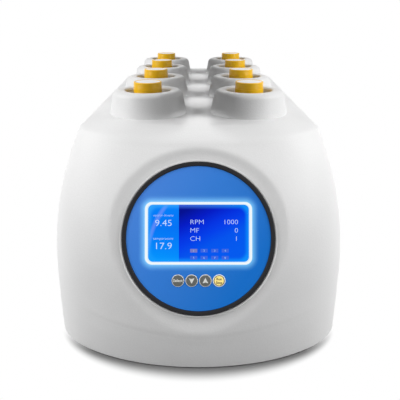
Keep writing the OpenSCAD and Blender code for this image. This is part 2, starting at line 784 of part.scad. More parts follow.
module usb_port() {
    depth = 16;
    socket_d = 9;
    color(STEEL) on_panel(usb_x) union() {
        difference() {
            union() {
                translate([0, 0, -depth]) plate(usb_w, usb_h, 1, depth + 0.5);
                plate(usb_w + 3, usb_h + 3, 1, 1);
            }
            translate([0, 0, 1 - socket_d]) plate(usb_w - 3.5, usb_h - 3.2, 1, socket_d + 1);
        }
        translate([-2.8, -1.6, 0.5 - socket_d]) cube([5.6, 3.2, socket_d - 1]);
    }
}

body_shell();
top_deck();
base_plate();
drive_chassis();
thermo_blocks();
heat_sinks();
drive_motors();
spindle_bearings();
circuit_boards();
power_supply();
fan_housing();
fan_rotor();
dial_bezel();
fascia();
light_frame();
lcd_module();
key_board();
key_select();
key_down();
key_up();
key_run();
rear_panel();
power_inlet();
switch_housing();
switch_rocker();
usb_port();
feet();
screws();
for (n = [1:8]) {
    well_collar(n);
    tube_holder(n);
    tube(n);
    tube_cap(n);
}
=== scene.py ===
import math

import bmesh
import bpy
from mathutils import Matrix, Vector


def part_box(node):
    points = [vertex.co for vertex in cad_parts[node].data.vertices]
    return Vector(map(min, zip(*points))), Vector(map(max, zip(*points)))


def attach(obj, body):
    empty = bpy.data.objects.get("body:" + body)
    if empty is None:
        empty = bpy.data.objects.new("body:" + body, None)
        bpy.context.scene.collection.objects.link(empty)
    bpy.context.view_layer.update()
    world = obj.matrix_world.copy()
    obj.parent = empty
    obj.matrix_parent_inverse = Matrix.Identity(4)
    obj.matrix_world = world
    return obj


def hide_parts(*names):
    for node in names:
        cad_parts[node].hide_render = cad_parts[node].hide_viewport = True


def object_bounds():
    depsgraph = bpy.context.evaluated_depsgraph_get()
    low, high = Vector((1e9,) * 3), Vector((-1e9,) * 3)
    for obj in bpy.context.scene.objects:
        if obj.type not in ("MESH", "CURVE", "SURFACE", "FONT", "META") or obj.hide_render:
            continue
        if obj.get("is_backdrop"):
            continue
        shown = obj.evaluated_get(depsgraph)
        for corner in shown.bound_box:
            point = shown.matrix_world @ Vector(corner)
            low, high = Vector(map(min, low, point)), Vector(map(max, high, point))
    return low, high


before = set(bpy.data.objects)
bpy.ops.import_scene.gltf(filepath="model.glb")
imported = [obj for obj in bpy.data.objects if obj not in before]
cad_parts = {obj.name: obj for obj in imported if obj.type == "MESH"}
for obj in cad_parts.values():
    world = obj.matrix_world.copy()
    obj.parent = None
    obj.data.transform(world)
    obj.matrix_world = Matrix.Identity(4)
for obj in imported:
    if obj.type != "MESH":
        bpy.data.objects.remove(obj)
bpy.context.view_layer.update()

# ---- Cover ----
# The long white cover is one moulding in grained ABS with a satin face, 4 mm thick. Its sides lean
# in from 80 mm up, its rounded nose carries a flat round dish for the dial, and its deck has a hole
# for each well. It drops over the base plate from above.
MM = 0.001
COVER_WALL = 4.0
BAND_H, BAND_TUCK = 38.0, 0.4
LEAN_Z, LEAN_R = 80.0, 497.0
SHOULDER_DROP, ROLL_H, DECK_HALF = 11.5, 18.5, 113.3
NOSE_D, NOSE_SHIFT, NOSE_R, NOSE_SLOPE, DECK_FRONT = 101.5, 50.0, 340.0, 2.0, 98.5
TAIL_D, TAIL_R, DECK_BACK = 60.0, 488.0, 8.4
DIAL_TILT, DIAL_Z, DIAL_BACK, DISH_R, DISH_SLAB = 22.0, 147.3, 38.0, 99.5, 5.0
DISH_FLAT, DISH_SLOPE, DISH_LEAST, DISH_DIP, DISH_DIP_POWER = 93.0, 0.19, 0.1, 2.7, 1.5
DISH_REACH, DISH_FAR, DISH_ROUND = 8.0, 60.0, 0.4
DIAL_HOLE, WELL_HOLE = 82.0, 38.2
CREASE_DEPTH, CREASE_ABOVE, CREASE_BELOW, CREASE_RISE, CREASE_KNEE = 0.9, 5.0, 14.0, 24.0, 0.22
SHELF_SLOPE, SHELF_RUN, BAND_SLOPE, BAND_END, BAND_FADE, HEM_Z = 0.09, 70.0, 0.03, 0.92, 0.26, 1.2
ROLL_POWER, NOSE_POWER = 1.3, 4
LOW_CREASES_END, LOW_SOFTNESS, HIGH_SOFTNESS = 60.0, 3.0, 1.2

cover_low, cover_high = (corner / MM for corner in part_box("body_shell"))
front_y, rear_y, edge_h, deck_z = cover_low.y, cover_high.y, cover_low.z, cover_high.z
shoulder_z = deck_z - SHOULDER_DROP
DIAL = Matrix.Translation((0, (front_y + DIAL_BACK) * MM, DIAL_Z * MM)) @ Matrix.Rotation(
    math.radians(90 - DIAL_TILT), 4, "X"
)
CHANNELS = {}
for channel in range(1, 9):
    low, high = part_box(f"well_collar_{channel}")
    CHANNELS[channel] = ((low.x + high.x) / 2, (low.y + high.y) / 2)


def sag(radius, depth):
    return radius - math.sqrt(radius * radius - depth * depth)


def mix(a, b, t):
    return a + (b - a) * t


def tuck(z):
    return BAND_TUCK * (1 - (z - edge_h) / (BAND_H - edge_h)) if z < BAND_H else 0


def half_width(z):
    side = 0 if z < LEAN_Z else sag(LEAN_R, min(z, shoulder_z) - LEAN_Z)
    wide = cover_high.x - side - tuck(z)
    return wide if z <= shoulder_z else mix(wide, DECK_HALF, (z - shoulder_z) / SHOULDER_DROP)


def nose_back(z):
    if z < BAND_H:
        return tuck(z)
    return sag(NOSE_R, z - BAND_H) + (z - BAND_H) * math.tan(math.radians(NOSE_SLOPE))


def tail_in(z):
    return tuck(z) if z < LEAN_Z else sag(TAIL_R, z - LEAN_Z)


def roll(z):
    return ((z - deck_z + ROLL_H) / ROLL_H) ** ROLL_POWER


def nose_y(z):
    top = deck_z - ROLL_H
    return front_y + (nose_back(z) if z <= top else mix(nose_back(top), DECK_FRONT, roll(z)))


def tail_y(z):
    top = deck_z - ROLL_H
    inward = tail_in(z) if z <= top else mix(tail_in(top), tail_in(top) + DECK_BACK, roll(z))
    return rear_y - inward


def sharp_outline(z, inset, front_steps, rear_steps):
    """Points once round the cover at a height: the half oval of the nose, then that of the tail."""
    wide = half_width(z) - inset
    rise = max(0, z - BAND_H) / (shoulder_z - BAND_H)
    root = front_y + NOSE_D + NOSE_SHIFT * rise**NOSE_POWER
    tail_root = rear_y - TAIL_D - tail_in(min(z, deck_z - ROLL_H))
    points = []
    for step in range(front_steps + 1):
        turn = math.pi * step / front_steps
        points.append((wide * math.cos(turn), root - (root - nose_y(z) - inset) * math.sin(turn)))
    for step in range(rear_steps + 1):
        turn = math.pi * step / rear_steps
        y = tail_root + (tail_y(z) - tail_root - inset) * math.sin(turn)
        points.append((-wide * math.cos(turn), y))
    return points


def soft_outline(z, inset, front_steps, rear_steps):
    """The same points, averaged over a short height, which rounds the cover's creases."""
    reach = LOW_SOFTNESS if z < LOW_CREASES_END else HIGH_SOFTNESS
    rings = [
        sharp_outline(min(max(z + shift, edge_h), deck_z), inset, front_steps, rear_steps)
        for shift in (-reach, 0, reach)
    ]
    return [(sum(p[0] for p in near) / 3, sum(p[1] for p in near) / 3) for near in zip(*rings)]


def press_dish(point):
    """Presses a point of the nose back to the dish, with a rounded crease where they meet.

    The dish is flat round the dial and rises gently outside it. It sinks a little below the dial.
    """
    place = DIAL.inverted() @ Vector(point)
    height, radius = place.z / MM, math.hypot(place.x, place.y) / MM
    if height < -DISH_REACH or height > DISH_FAR:
        return point
    under = max(0, -place.y / MM / DISH_FLAT)
    limit = max(0, radius - DISH_FLAT) * DISH_SLOPE * max(DISH_LEAST, 1 - under)
    limit -= DISH_DIP * under**DISH_DIP_POWER
    if limit - height > DISH_REACH:
        return point
    shift = min(height, limit)
    soft = shift - DISH_ROUND * math.log(
        math.exp((shift - height) / DISH_ROUND) + math.exp((shift - limit) / DISH_ROUND)
    )
    return DIAL @ Vector((place.x, place.y, soft * MM))


def press_band(point):
    """Folds the nose along a soft crease above a plain band.

    The crease rises and fades towards the corners, and a shallow shelf lies above it.
    """
    x, y, z = point
    side = abs(x) / cover_high.x / MM
    if y > (front_y + NOSE_D) * MM or side > BAND_END:
        return point
    over = z / MM - BAND_H - CREASE_RISE * side**2 / (side + CREASE_KNEE)
    up = min(max(0, over) / SHELF_RUN, 1)
    pressed = SHELF_SLOPE * SHELF_RUN * up * (1 - up) ** 2 + BAND_SLOPE * max(0, -over)
    reach = CREASE_ABOVE if over > 0 else CREASE_BELOW
    pressed += CREASE_DEPTH * math.exp(-((over / reach) ** 2))
    fade = min(1, (BAND_END - side) / BAND_FADE)
    return x, y + pressed * fade * fade * (3 - 2 * fade) * MM, z


def deselect():
    if bpy.context.object and bpy.context.object.mode != "OBJECT":
        bpy.ops.object.mode_set(mode="OBJECT")
    bpy.ops.object.select_all(action="DESELECT")


def choose(piece):
    deselect()
    piece.select_set(True)
    bpy.context.view_layer.objects.active = piece


def open_up():
    """Enters edit mode with all of the active piece selected."""
    bpy.ops.object.mode_set(mode="EDIT")
    bpy.ops.mesh.select_all(action="SELECT")


def close_up():
    """Turns all faces of the piece in edit mode outwards, and leaves edit mode."""
    bpy.ops.mesh.select_all(action="SELECT")
    bpy.ops.mesh.normals_make_consistent(inside=False)
    bpy.ops.object.mode_set(mode="OBJECT")


def rolled_wall(name, levels, outline, front_steps, rear_steps):
    """A grid rolled into a ring of points for each level, and filled at both ends.

    A level is its height, the height of the cover whose outline it takes, and how far it is inset.
    """
    around, up = front_steps + rear_steps + 2, len(levels) - 1
    deselect()
    bpy.ops.mesh.primitive_grid_add(x_subdivisions=around, y_subdivisions=up, size=1)
    piece = bpy.context.object
    piece.name = name
    rings = [outline(shape_z, inset, front_steps, rear_steps) for _, shape_z, inset in levels]
    for vertex in piece.data.vertices:
        step, level = round((vertex.co.x + 0.5) * around) % around, round((vertex.co.y + 0.5) * up)
        x, y = rings[level][step]
        vertex.co = (x * MM, y * MM, levels[level][0] * MM)
    open_up()
    bpy.ops.mesh.remove_doubles(threshold=0.00001)
    for end in (levels[0][0] * MM, levels[-1][0] * MM):
        bpy.ops.mesh.select_all(action="DESELECT")
        mesh = bmesh.from_edit_mesh(piece.data)
        for edge in mesh.edges:
            edge.select_set(edge.is_boundary and all(abs(v.co.z - end) < 1e-7 for v in edge.verts))
        bmesh.update_edit_mesh(piece.data)
        bpy.ops.mesh.edge_face_add()
    close_up()
    return piece


def keep_place(piece):
    """Leaves a piece's object at the origin, with its place in its mesh."""
    bpy.context.view_layer.update()
    piece.data.transform(piece.matrix_world)
    piece.matrix_world = Matrix.Identity(4)
    return piece


def rod(radius, length, place, sides=64):
    """A round cutter, centred on a place and along its Z, sizes in millimetres."""
    deselect()
    bpy.ops.mesh.primitive_cylinder_add(vertices=sides, radius=radius * MM, depth=length * MM)
    piece = bpy.context.object
    piece.matrix_world = place
    return keep_place(piece)


def block(size, centre):
    """A square cutter, sizes and place in millimetres."""
    deselect()
    bpy.ops.mesh.primitive_cube_add(size=1)
    piece = bpy.context.object
    stretch = Matrix.Diagonal((*(Vector(size) * MM), 1))
    piece.matrix_world = Matrix.Translation(Vector(centre) * MM) @ stretch
    return keep_place(piece)


def cut(piece, *cutters):
    """Takes the cutters, which don't touch one another, out of a piece."""
    choose(cutters[0])
    for cutter in cutters:
        cutter.select_set(True)
    if len(cutters) > 1:
        bpy.ops.object.join()
    tool = bpy.context.object
    choose(piece)
    modifier = piece.modifiers.new("cut", "BOOLEAN")
    modifier.operation, modifier.solver, modifier.object = "DIFFERENCE", "EXACT", tool
    bpy.ops.object.modifier_apply(modifier="cut")
    bpy.data.objects.remove(tool)


def heights(*stretches):
    """Heights from stretch to stretch, each (from, to, step), without doubles."""
    found = []
    for start, end, step in stretches:
        count = max(1, round((end - start) / step))
        found += [start + (end - start) * i / count for i in range(count)]
    return found + [stretches[-1][1]]


# The rings lie closest where the cover bends most: at the crease and round the shoulder.
outer_heights = heights(
    (edge_h + 3, 30, 3),
    (30, 64, 1.2),
    (64, 236, 2),
    (236, 247, 1.6),
    (247, 253, 0.6),
    (253, 259, 1.2),
    (259, deck_z, 0.6),
)
hem = ((0, COVER_WALL), (0, 0.8), (0.25, 0.25), (0.8, 0))
outer_levels = [(HEM_Z + rise, edge_h, inset) for rise, inset in hem]
outer_levels += [(z, z, 0) for z in outer_heights]
outer_levels += [(deck_z, deck_z, inset) for inset in (1, 2.2, 3.6, 5.2, 7, 9)]
cover = rolled_wall("cover", outer_levels, soft_outline, 200, 64)
for vertex in cover.data.vertices:
    vertex.co = press_dish(press_band(vertex.co))
# The shoulder is softened in front of the wells and behind them, where the deck turns down.
WELL_CLEAR, SOFT_SHOULDER = 52.0, 7.0
well_rows = [y for _, y in CHANNELS.values()]
soft_front, soft_back = (min(well_rows) - WELL_CLEAR) * MM, (max(well_rows) + WELL_CLEAR) * MM
choose(cover)
bpy.ops.object.mode_set(mode="EDIT")
mesh = bmesh.from_edit_mesh(cover.data)
bpy.ops.mesh.select_mode(type="VERT")
for vertex in mesh.verts:
    on_deck = vertex.co.z > (deck_z - 0.01) * MM
    inner = on_deck and max(len(face.verts) for face in vertex.link_faces) > 4
    beyond = not soft_front < vertex.co.y < soft_back
    vertex.select_set(beyond and not inner and vertex.co.z > (deck_z - SOFT_SHOULDER) * MM)
bmesh.update_edit_mesh(cover.data)
bpy.ops.mesh.vertices_smooth(factor=0.5, repeat=24)
bpy.ops.object.mode_set(mode="OBJECT")

cavity_levels = [(HEM_Z - 1, edge_h, COVER_WALL), (BAND_H, BAND_H, COVER_WALL)]
cavity_levels += [(z, z, COVER_WALL) for z in heights((60, shoulder_z - COVER_WALL, 26))]
cavity_levels += [(deck_z - COVER_WALL, deck_z, 0)]
cavity = rolled_wall("cavity", cavity_levels, sharp_outline, 36, 36)
panel_low, panel_high = (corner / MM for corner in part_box("rear_panel"))
panel_mid, panel_size = (panel_low + panel_high) / 2, panel_high - panel_low
PANEL_LEDGE, PANEL_BACKING, PANEL_PLAY = 9.0, 4.0, 0.4
LONG_CUT, HOLE_CUT, WELL_CUT = 60.0, 40.0, 20.0


def panel_cut(wider, length, y):
    """A cutter through the rear wall, wider than the panel by a margin."""
    return block((panel_size.x + wider, length, panel_size.z + wider), (0, y, panel_mid.z))


dish_room = DIAL @ Matrix.Translation((0, 0, (LONG_CUT / 2 - DISH_SLAB) * MM))
cut(cavity, rod(DISH_R + COVER_WALL, LONG_CUT, dish_room))
cut(cavity, panel_cut(2 * PANEL_BACKING, LONG_CUT, panel_low.y - PANEL_BACKING + LONG_CUT / 2))
cut(cover, cavity)
wells = [
    rod(WELL_HOLE, WELL_CUT, Matrix.Translation((x, y, (deck_z - COVER_WALL) * MM)))
    for x, y in CHANNELS.values()
]
cut(
    cover,
    *wells,
    rod(DIAL_HOLE, HOLE_CUT, DIAL, 128),
    panel_cut(PANEL_PLAY, LONG_CUT, panel_low.y + LONG_CUT / 2),
)
cut(cover, panel_cut(-2 * PANEL_LEDGE, HOLE_CUT, panel_low.y))


def smooth(piece, angle):
    """Shades a piece smooth, apart from edges sharper than the angle."""
    choose(piece)
    bpy.ops.object.shade_smooth_by_angle(angle=math.radians(angle))


smooth(cover, 14)


def linear(code):
    """An sRGB hex colour as a linear one."""
    parts = [int(code[i : i + 2], 16) / 255 for i in (1, 3, 5)]
    return (*(p / 12.92 if p <= 0.04045 else ((p + 0.055) / 1.055) ** 2.4 for p in parts), 1)


def feed(tree, node, *values, **named):
    """Sets a node's inputs: the first ones in order, then others by name or by _number.

    An input takes a value, a hex colour, a socket, or a node, whose first output is meant.
    """
    chosen = [*zip(node.inputs, values)]
    for name, value in named.items():
        key = int(name[1:]) if name[1:].isdigit() else name.replace("_", " ")
        chosen.append((node.inputs[key], value))
    for socket, value in chosen:
        if isinstance(value, bpy.types.Node):
            value = value.outputs[0]
        if isinstance(value, bpy.types.NodeSocket):
            tree.links.new(value, socket)
        else:
            socket.default_value = linear(value) if isinstance(value, str) else value


def add(tree, kind, settings=None, *values, stops=(), **named):
    """Adds a node with its settings, its inputs and, on a ramp, stops of (position, hex colour)."""
    node = tree.nodes.new("ShaderNode" + kind)
    for name, value in (settings or {}).items():
        setattr(node, name, value)
    for position, code in stops[1:-1]:
        node.color_ramp.elements.new(position)
    for i, (position, code) in enumerate(stops):
        element = node.color_ramp.elements[i]
        element.position, element.color = position, linear(code)
    feed(tree, node, *values, **named)
    return node


COLOURS, EASED = {"data_type": "RGBA"}, {"interpolation_type": "SMOOTHSTEP"}


def finish(name, **sockets):
    """A new material with its Principled shader's sockets set, as (material, tree, shader)."""
    made = bpy.data.materials.new(name)
    made.use_nodes = True
    tree = made.node_tree
    shader = tree.nodes["Principled BSDF"]
    feed(tree, shader, **sockets)
    return made, tree, shader


def grained(name, size, depth, light, dark, **sockets):
    """A material with a grain of rounded cells, size and depth in millimetres, in two colours."""
    made, tree, shader = finish(name, **sockets)
    place = add(tree, "TexCoord").outputs["Object"]
    cells = add(
        tree,
        "TexVoronoi",
        {"feature": "SMOOTH_F1"},
        Vector=place,
        Scale=1 / (size * MM),
        Smoothness=1.0,
    )
    fine = add(tree, "TexNoise", Vector=place, Scale=1 / (size * 0.45 * MM), Detail=2.0)
    height = add(tree, "Math", {"operation": "MULTIPLY_ADD"}, fine, 0.5, cells)
    bump = add(tree, "Bump", Strength=0.9, Distance=depth * MM, Height=height)
    cloud = add(tree, "TexNoise", Vector=place, Scale=14.0, Detail=2.0)
    uneven = add(tree, "Math", {"operation": "MULTIPLY_ADD"}, fine, 2.4, cloud)
    uneven_share = add(tree, "MapRange", None, uneven, 1.0, 2.4)
    colours = add(tree, "Mix", COLOURS, uneven_share, _6=light, _7=dark).outputs[2]
    feed(tree, shader, Base_Color=colours, Normal=bump)
    return made


# ABS moulded against an etched tool: a satin white face broken up by a fine leather-like grain,
# drawn at 1.8 mm, which is coarser than the real half millimetre, so that it shows.
satin_abs = grained(
    "moulded_satin_abs_white",
    1.8,
    0.08,
    "#EFEFEF",
    "#E6E6E6",
    Roughness=0.5,
    Specular_IOR_Level=0.42,
    IOR=1.54,
)


def fit(piece, body, slot, material, *stands_for):
    """Gives a finished piece its material and lets it ride on its body."""
    piece.data.materials.clear()
    piece.data.materials.append(material)
    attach(piece, body)
    if stands_for:
        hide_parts(*stands_for)
    return piece


fit(cover, "housing", "housing_white", satin_abs, "body_shell", "top_deck")


def dress(material, *nodes):
    """Gives CAD nodes that show as they are their material."""
    for name in nodes:
        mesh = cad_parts[name].data
        mesh.materials.clear()
        mesh.materials.append(material)


# ---- Base plate, feet and screws ----
# A 3 mm steel sheet closes the cover from below. It is laser cut, powder coated grey, and has a
# slotted grille under the fan. Four moulded rubber feet and pan-head screws hold it.
# Powder coat on steel: a dull grey with a fine orange peel.
powder_grey = grained("powder_coated_steel_grey", 1.2, 0.03, "#9C9EA1", "#96989C", Roughness=0.6)
dress(powder_grey, "base_plate")

# Moulded rubber: nearly black and dull, with a faint bloom.
foot_rubber = grained(
    "moulded_rubber_black", 0.9, 0.03, "#1A1A1C", "#232325", Roughness=0.85, Specular_IOR_Level=0.3
)
dress(foot_rubber, "feet")


def brushed(name, light, dark, rough, metallic, across):
    """A metal drawn or brushed one way: streaks this close across each axis."""
    made, tree, shader = finish(name, Roughness=rough, Metallic=metallic)
    place = add(tree, "TexCoord").outputs["Object"]
    streaks = add(tree, "Mapping", Vector=place, Scale=across)
    lines = add(tree, "TexNoise", Vector=streaks, Scale=1.0, Detail=3.0)
    colours = add(tree, "Mix", COLOURS, lines, _6=light, _7=dark).outputs[2]
    bump = add(tree, "Bump", Strength=0.4, Distance=0.01 * MM, Height=lines)
    feed(tree, shader, Base_Color=colours, Normal=bump)
    return made


# Zinc plate on turned steel: bright, slightly blue, with turning marks 0.4 mm apart.
zinc = brushed("zinc_plated_steel", "#C2C6CA", "#A9AEB4", 0.32, 1.0, (200, 200, 2500))
dress(zinc, "screws")

# ---- Drives ----
# Eight small motors hang under a cast aluminium chassis that stands on six legs. Each turns a
# spindle in a ball bearing, and carries a turned, black anodised holder for one tube.
# Cast aluminium: pale, dull and slightly mottled.
cast_alloy = grained("cast_aluminium", 1.5, 0.04, "#B4B8BC", "#A4A8AD", Roughness=0.5, Metallic=1.0)
dress(cast_alloy, "drive_chassis")
# Drawn steel can: satin with fine rings round it.
motor_can = brushed("drawn_steel", "#A2A6AB", "#8C9095", 0.38, 1.0, (60, 60, 1800))
dress(motor_can, "drive_motors", "spindle_bearings")
# Extruded aluminium: straight drawn lines along the fins.
extruded = brushed("extruded_aluminium", "#C4C8CC", "#B2B6BB", 0.42, 1.0, (1500, 1500, 30))
dress(extruded, "heat_sinks")
# Black anodised aluminium: a dark satin face over turning marks 0.3 mm apart.
anodised = brushed("black_anodised_aluminium", "#1D1E21", "#292A2E", 0.42, 0.6, (40, 40, 3000))
dress(anodised, "thermo_blocks", *(f"tube_holder_{n}" for n in CHANNELS))

# ---- Electronics ----
# A control board lies on the base plate and a sensor board stands beside each channel: glass-epoxy
# board under green solder mask, with moulded parts soldered on.
# Solder mask: a glossy mid green, slightly mottled where copper lies under it.
mask_green = grained(
    "solder_mask_green", 2.5, 0.01, "#165A33", "#1F6B3E", Roughness=0.35, Coat_Weight=0.3
)
dress(mask_green, "circuit_boards", "key_board")
# Galvanised sheet: pale grey and half bright, with soft flecks.
supply_steel = brushed("galvanised_sheet_steel", "#B9BDC0", "#9FA4A8", 0.4, 1.0, (90, 90, 90))
dress(supply_steel, "power_supply")

# ---- Fan ----
# A 92 mm axial fan draws air in through the grille in the base plate. Frame and rotor are moulded
# in glass-filled polyester.
# Moulded polyester: black, dull, with a faint fibre streak.
fan_black = grained("moulded_polyester_black", 0.8, 0.02, "#161718", "#1E1F21", Roughness=0.55)
dress(fan_black, "fan_housing", "fan_rotor")

# ---- Well collars ----
# Each well has a thick ring moulded in pebbled ABS, with a drafted outer wall, a broad round over
# its top and a rounded lip. Its spigot presses into the deck.
collar_low, collar_high = (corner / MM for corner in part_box("well_collar_1"))
COLLAR_R, COLLAR_BORE, SPIGOT_R = (collar_high.x - collar_low.x) / 2, 28.0, 38.0
COLLAR_ROUND, LIP_ROUND, DRAFT = 8.0, 3.0, 12.0
top = collar_high.z


def turned(name, profile, steps, closed=True):
    """A profile of (radius, height) points in millimetres, spun once round the Z axis."""
    deselect()
    bpy.ops.mesh.primitive_circle_add(vertices=len(profile), radius=1)
    piece = bpy.context.object
    piece.name = name
    for vertex, (radius, height) in zip(piece.data.vertices, profile):
        vertex.co = (radius * MM, 0, height * MM)
    bpy.ops.object.mode_set(mode="EDIT")
    if not closed:
        mesh = bmesh.from_edit_mesh(piece.data)
        mesh.edges.ensure_lookup_table()
        ends = {0, len(profile) - 1}
        closing = [edge for edge in mesh.edges if {v.index for v in edge.verts} == ends]
        bmesh.ops.delete(mesh, geom=closing, context="EDGES")
        bmesh.update_edit_mesh(piece.data)
    bpy.ops.mesh.select_all(action="SELECT")
    bpy.ops.mesh.spin(steps=steps, angle=2 * math.pi, center=(0, 0, 0), axis=(0, 0, 1))
    bpy.ops.mesh.select_all(action="SELECT")
    bpy.ops.mesh.remove_doubles(threshold=0.000002)
    close_up()
    return piece


def arc(x, z, radius, start, end, steps):
    """Points on an arc in a profile, angles in degrees."""
    turns = [math.radians(mix(start, end, i / steps)) for i in range(steps + 1)]
    return [(x + radius * math.cos(t), z + radius * math.sin(t)) for t in turns]


def twin(pattern, name, place):
    """A copy of a piece with a mesh of its own, moved to a place."""
    piece = pattern.copy()
    piece.data = pattern.data.copy()
    piece.name = name
    piece.data.transform(place)
    bpy.context.scene.collection.objects.link(piece)
    return piece


def copies(pattern, name):
    """A twin of a channel's piece for each channel, as {channel: piece}. The piece itself goes."""
    made = {}
    for n, (x, y) in CHANNELS.items():
        made[n] = twin(pattern, f"{name}_{n}", Matrix.Translation((x, y, 0)))
    bpy.data.objects.remove(pattern)
    return made


draft = math.radians(DRAFT)
wall_h = top - deck_z - COLLAR_ROUND
round_x = COLLAR_R - wall_h * math.tan(draft) - COLLAR_ROUND * math.cos(draft)
collar_profile = [(COLLAR_BORE, collar_low.z), (SPIGOT_R, collar_low.z), (SPIGOT_R, deck_z)]
collar_profile += [(COLLAR_R, deck_z), (COLLAR_R - 0.1, deck_z + 0.5)]
collar_profile += arc(round_x, top - COLLAR_ROUND, COLLAR_ROUND, DRAFT, 90, 14)
collar_profile += arc(COLLAR_BORE + LIP_ROUND, top - LIP_ROUND, LIP_ROUND, 90, 180, 8)
collar = turned("collar", collar_profile, 96)
smooth(collar, 30)
# The collars come from a tool with a deeper grain, and are a touch greyer than the cover. The grain
# is drawn at 1.6 mm, again coarser than the real one so that it shows.
pebbled_abs = grained(
    "moulded_pebbled_abs_grey_white",
    1.6,
    0.14,
    "#E8E8E8",
    "#DEDEDE",
    Roughness=0.5,
    Specular_IOR_Level=0.5,
    IOR=1.54,
)
for n, piece in copies(collar, "collar").items():
    fit(piece, "housing", "collar_grey", pebbled_abs, f"well_collar_{n}")

# ---- Tubes ----
# The culture tubes are 50 ml conical tubes moulded thin in clear polypropylene, with moulded yellow
# screw caps. A white vent membrane is welded into a seat in each cap's top.
# Clear polypropylene: water-clear with a slight haze.
clear_pp, tree, shader = finish(
    "clear_polypropylene", Roughness=0.12, IOR=1.49, Transmission_Weight=0.9
)
place = add(tree, "TexCoord").outputs["Object"]
haze = add(tree, "TexNoise", Vector=place, Scale=60.0, Detail=3.0)
tint = add(tree, "Mix", COLOURS, haze, _6="#E6ECEF", _7="#DCE4E9").outputs[2]
feed(tree, shader, Base_Color=tint)
dress(clear_pp, *(f"tube_{n}" for n in CHANNELS))

cap_low, cap_high = (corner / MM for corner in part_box("tube_cap_1"))
CAP_R, CAP_TOP_R, THREAD_R, VENT_R, VENT_HOLE, VENT_SEAT = 17.9, 17.4, 14.65, 15.6, 11.0, 0.8
GROOVES, GROOVE_DEPTH, GROOVE_HALF = (293.9, 295.6, 297.3), 0.14, 0.35
STEP_Z, STEP_IN, STEP_H, SIDE_IN, SKIRT_ROUND = 291.9, 0.5, 0.35, 0.35, 0.4
LID_ROUND, LID_T, SEAT_EDGE = 0.9, 2.0, 0.15
floor_z, lid_z = cap_low.z, cap_high.z


def cap_side(z):
    """The cap's radius above its step, where the side has a slight draft."""
    return mix(CAP_R - SIDE_IN, CAP_TOP_R, (z - STEP_Z) / (lid_z - STEP_Z))


cap_profile = [(THREAD_R, floor_z), (CAP_R - SKIRT_ROUND, floor_z), (CAP_R, floor_z + SKIRT_ROUND)]
cap_profile += [(CAP_R - 0.05, STEP_Z - STEP_H), (CAP_R - STEP_IN, STEP_Z)]
cap_profile += [(cap_side(STEP_Z + 0.3), STEP_Z + STEP_H)]
for z in GROOVES:
    above, below = z + GROOVE_HALF, z - GROOVE_HALF
    cap_profile += [(cap_side(below), below), (cap_side(z) - GROOVE_DEPTH, z)]
    cap_profile += [(cap_side(above), above)]
cap_profile += arc(CAP_TOP_R - LID_ROUND, lid_z - LID_ROUND, LID_ROUND, 0, 90, 6)
seat_z, lid_back = lid_z - VENT_SEAT, lid_z - LID_T
cap_profile += [(VENT_R + SEAT_EDGE, lid_z), (VENT_R, lid_z - SEAT_EDGE), (VENT_R, seat_z)]
cap_profile += [(VENT_HOLE, seat_z), (VENT_HOLE, lid_back), (THREAD_R, lid_back)]
cap = turned("cap", cap_profile, 96)
smooth(cap, 32)
# Injection-moulded polypropylene: warm yellow, waxy sheen, a little light passing into it.
yellow_pp = grained(
    "moulded_polypropylene_yellow",
    0.7,
    0.004,
    "#F8C402",
    "#F2BC02",
    Roughness=0.32,
    IOR=1.49,
    Specular_IOR_Level=0.45,
    Subsurface_Weight=0.04,
    Subsurface_Radius=(0.004, 0.002, 0.0005),
)
for n, piece in copies(cap, "cap").items():
    fit(piece, f"spinner_{n}", "cap_yellow", yellow_pp, f"tube_cap_{n}")

MEMBRANE_SUNK, MEMBRANE_T, MEMBRANE_EDGE, MEMBRANE_DIP = 0.35, 0.4, 0.8, 0.05
membrane_z, membrane_r = lid_z - MEMBRANE_SUNK, VENT_R - 0.05
membrane_profile = [(0, membrane_z - MEMBRANE_T), (membrane_r, membrane_z - MEMBRANE_T)]
membrane_profile += [(membrane_r, membrane_z - MEMBRANE_DIP), (VENT_R - MEMBRANE_EDGE, membrane_z)]
membrane_profile += [(VENT_R * 0.5, membrane_z - 0.03), (0, membrane_z - MEMBRANE_DIP)]
membrane = turned("vent", membrane_profile, 64, closed=False)
smooth(membrane, 40)
# Stretched PTFE membrane: dead white and matt, with a faint fibrous unevenness.
ptfe = grained(
    "stretched_ptfe_membrane",
    0.6,
    0.01,
    "#F8F8FA",
    "#F2F3F5",
    Roughness=0.8,
    Specular_IOR_Level=0.3,
)
for n, piece in copies(membrane, "vent_membrane").items():
    fit(piece, f"spinner_{n}", "light_white", ptfe)

# ---- Dial bezel ----
# The dial sits in a ring moulded in black ABS, 5 mm wide, with both its edges rounded. It drops
# into the hole in the dish and carries the fascia on a ledge.
BEZEL_R, FASCIA_R, BEZEL_H, FASCIA_BACK, FASCIA_TOP = 85.5, 80.5, 3.0, -0.5, 1.5
LEDGE_W, SLEEVE_END, SLEEVE_PLAY, OUTER_ROUND, INNER_ROUND = 4.5, -6.0, 0.2, 1.6, 0.9
ledge_r, sleeve_r = FASCIA_R - LEDGE_W, DIAL_HOLE - SLEEVE_PLAY
bezel_profile = [(ledge_r, SLEEVE_END), (sleeve_r, SLEEVE_END), (sleeve_r, 0.0), (BEZEL_R, 0.0)]
bezel_profile += arc(BEZEL_R - OUTER_ROUND, BEZEL_H - OUTER_ROUND, OUTER_ROUND, 0, 90, 8)
bezel_profile += arc(FASCIA_R + INNER_ROUND, BEZEL_H - INNER_ROUND, INNER_ROUND, 90, 180, 5)
bezel_profile += [(FASCIA_R, FASCIA_BACK), (ledge_r, FASCIA_BACK)]
bezel = turned("bezel", bezel_profile, 160)
bezel.data.transform(DIAL)
smooth(bezel, 32)
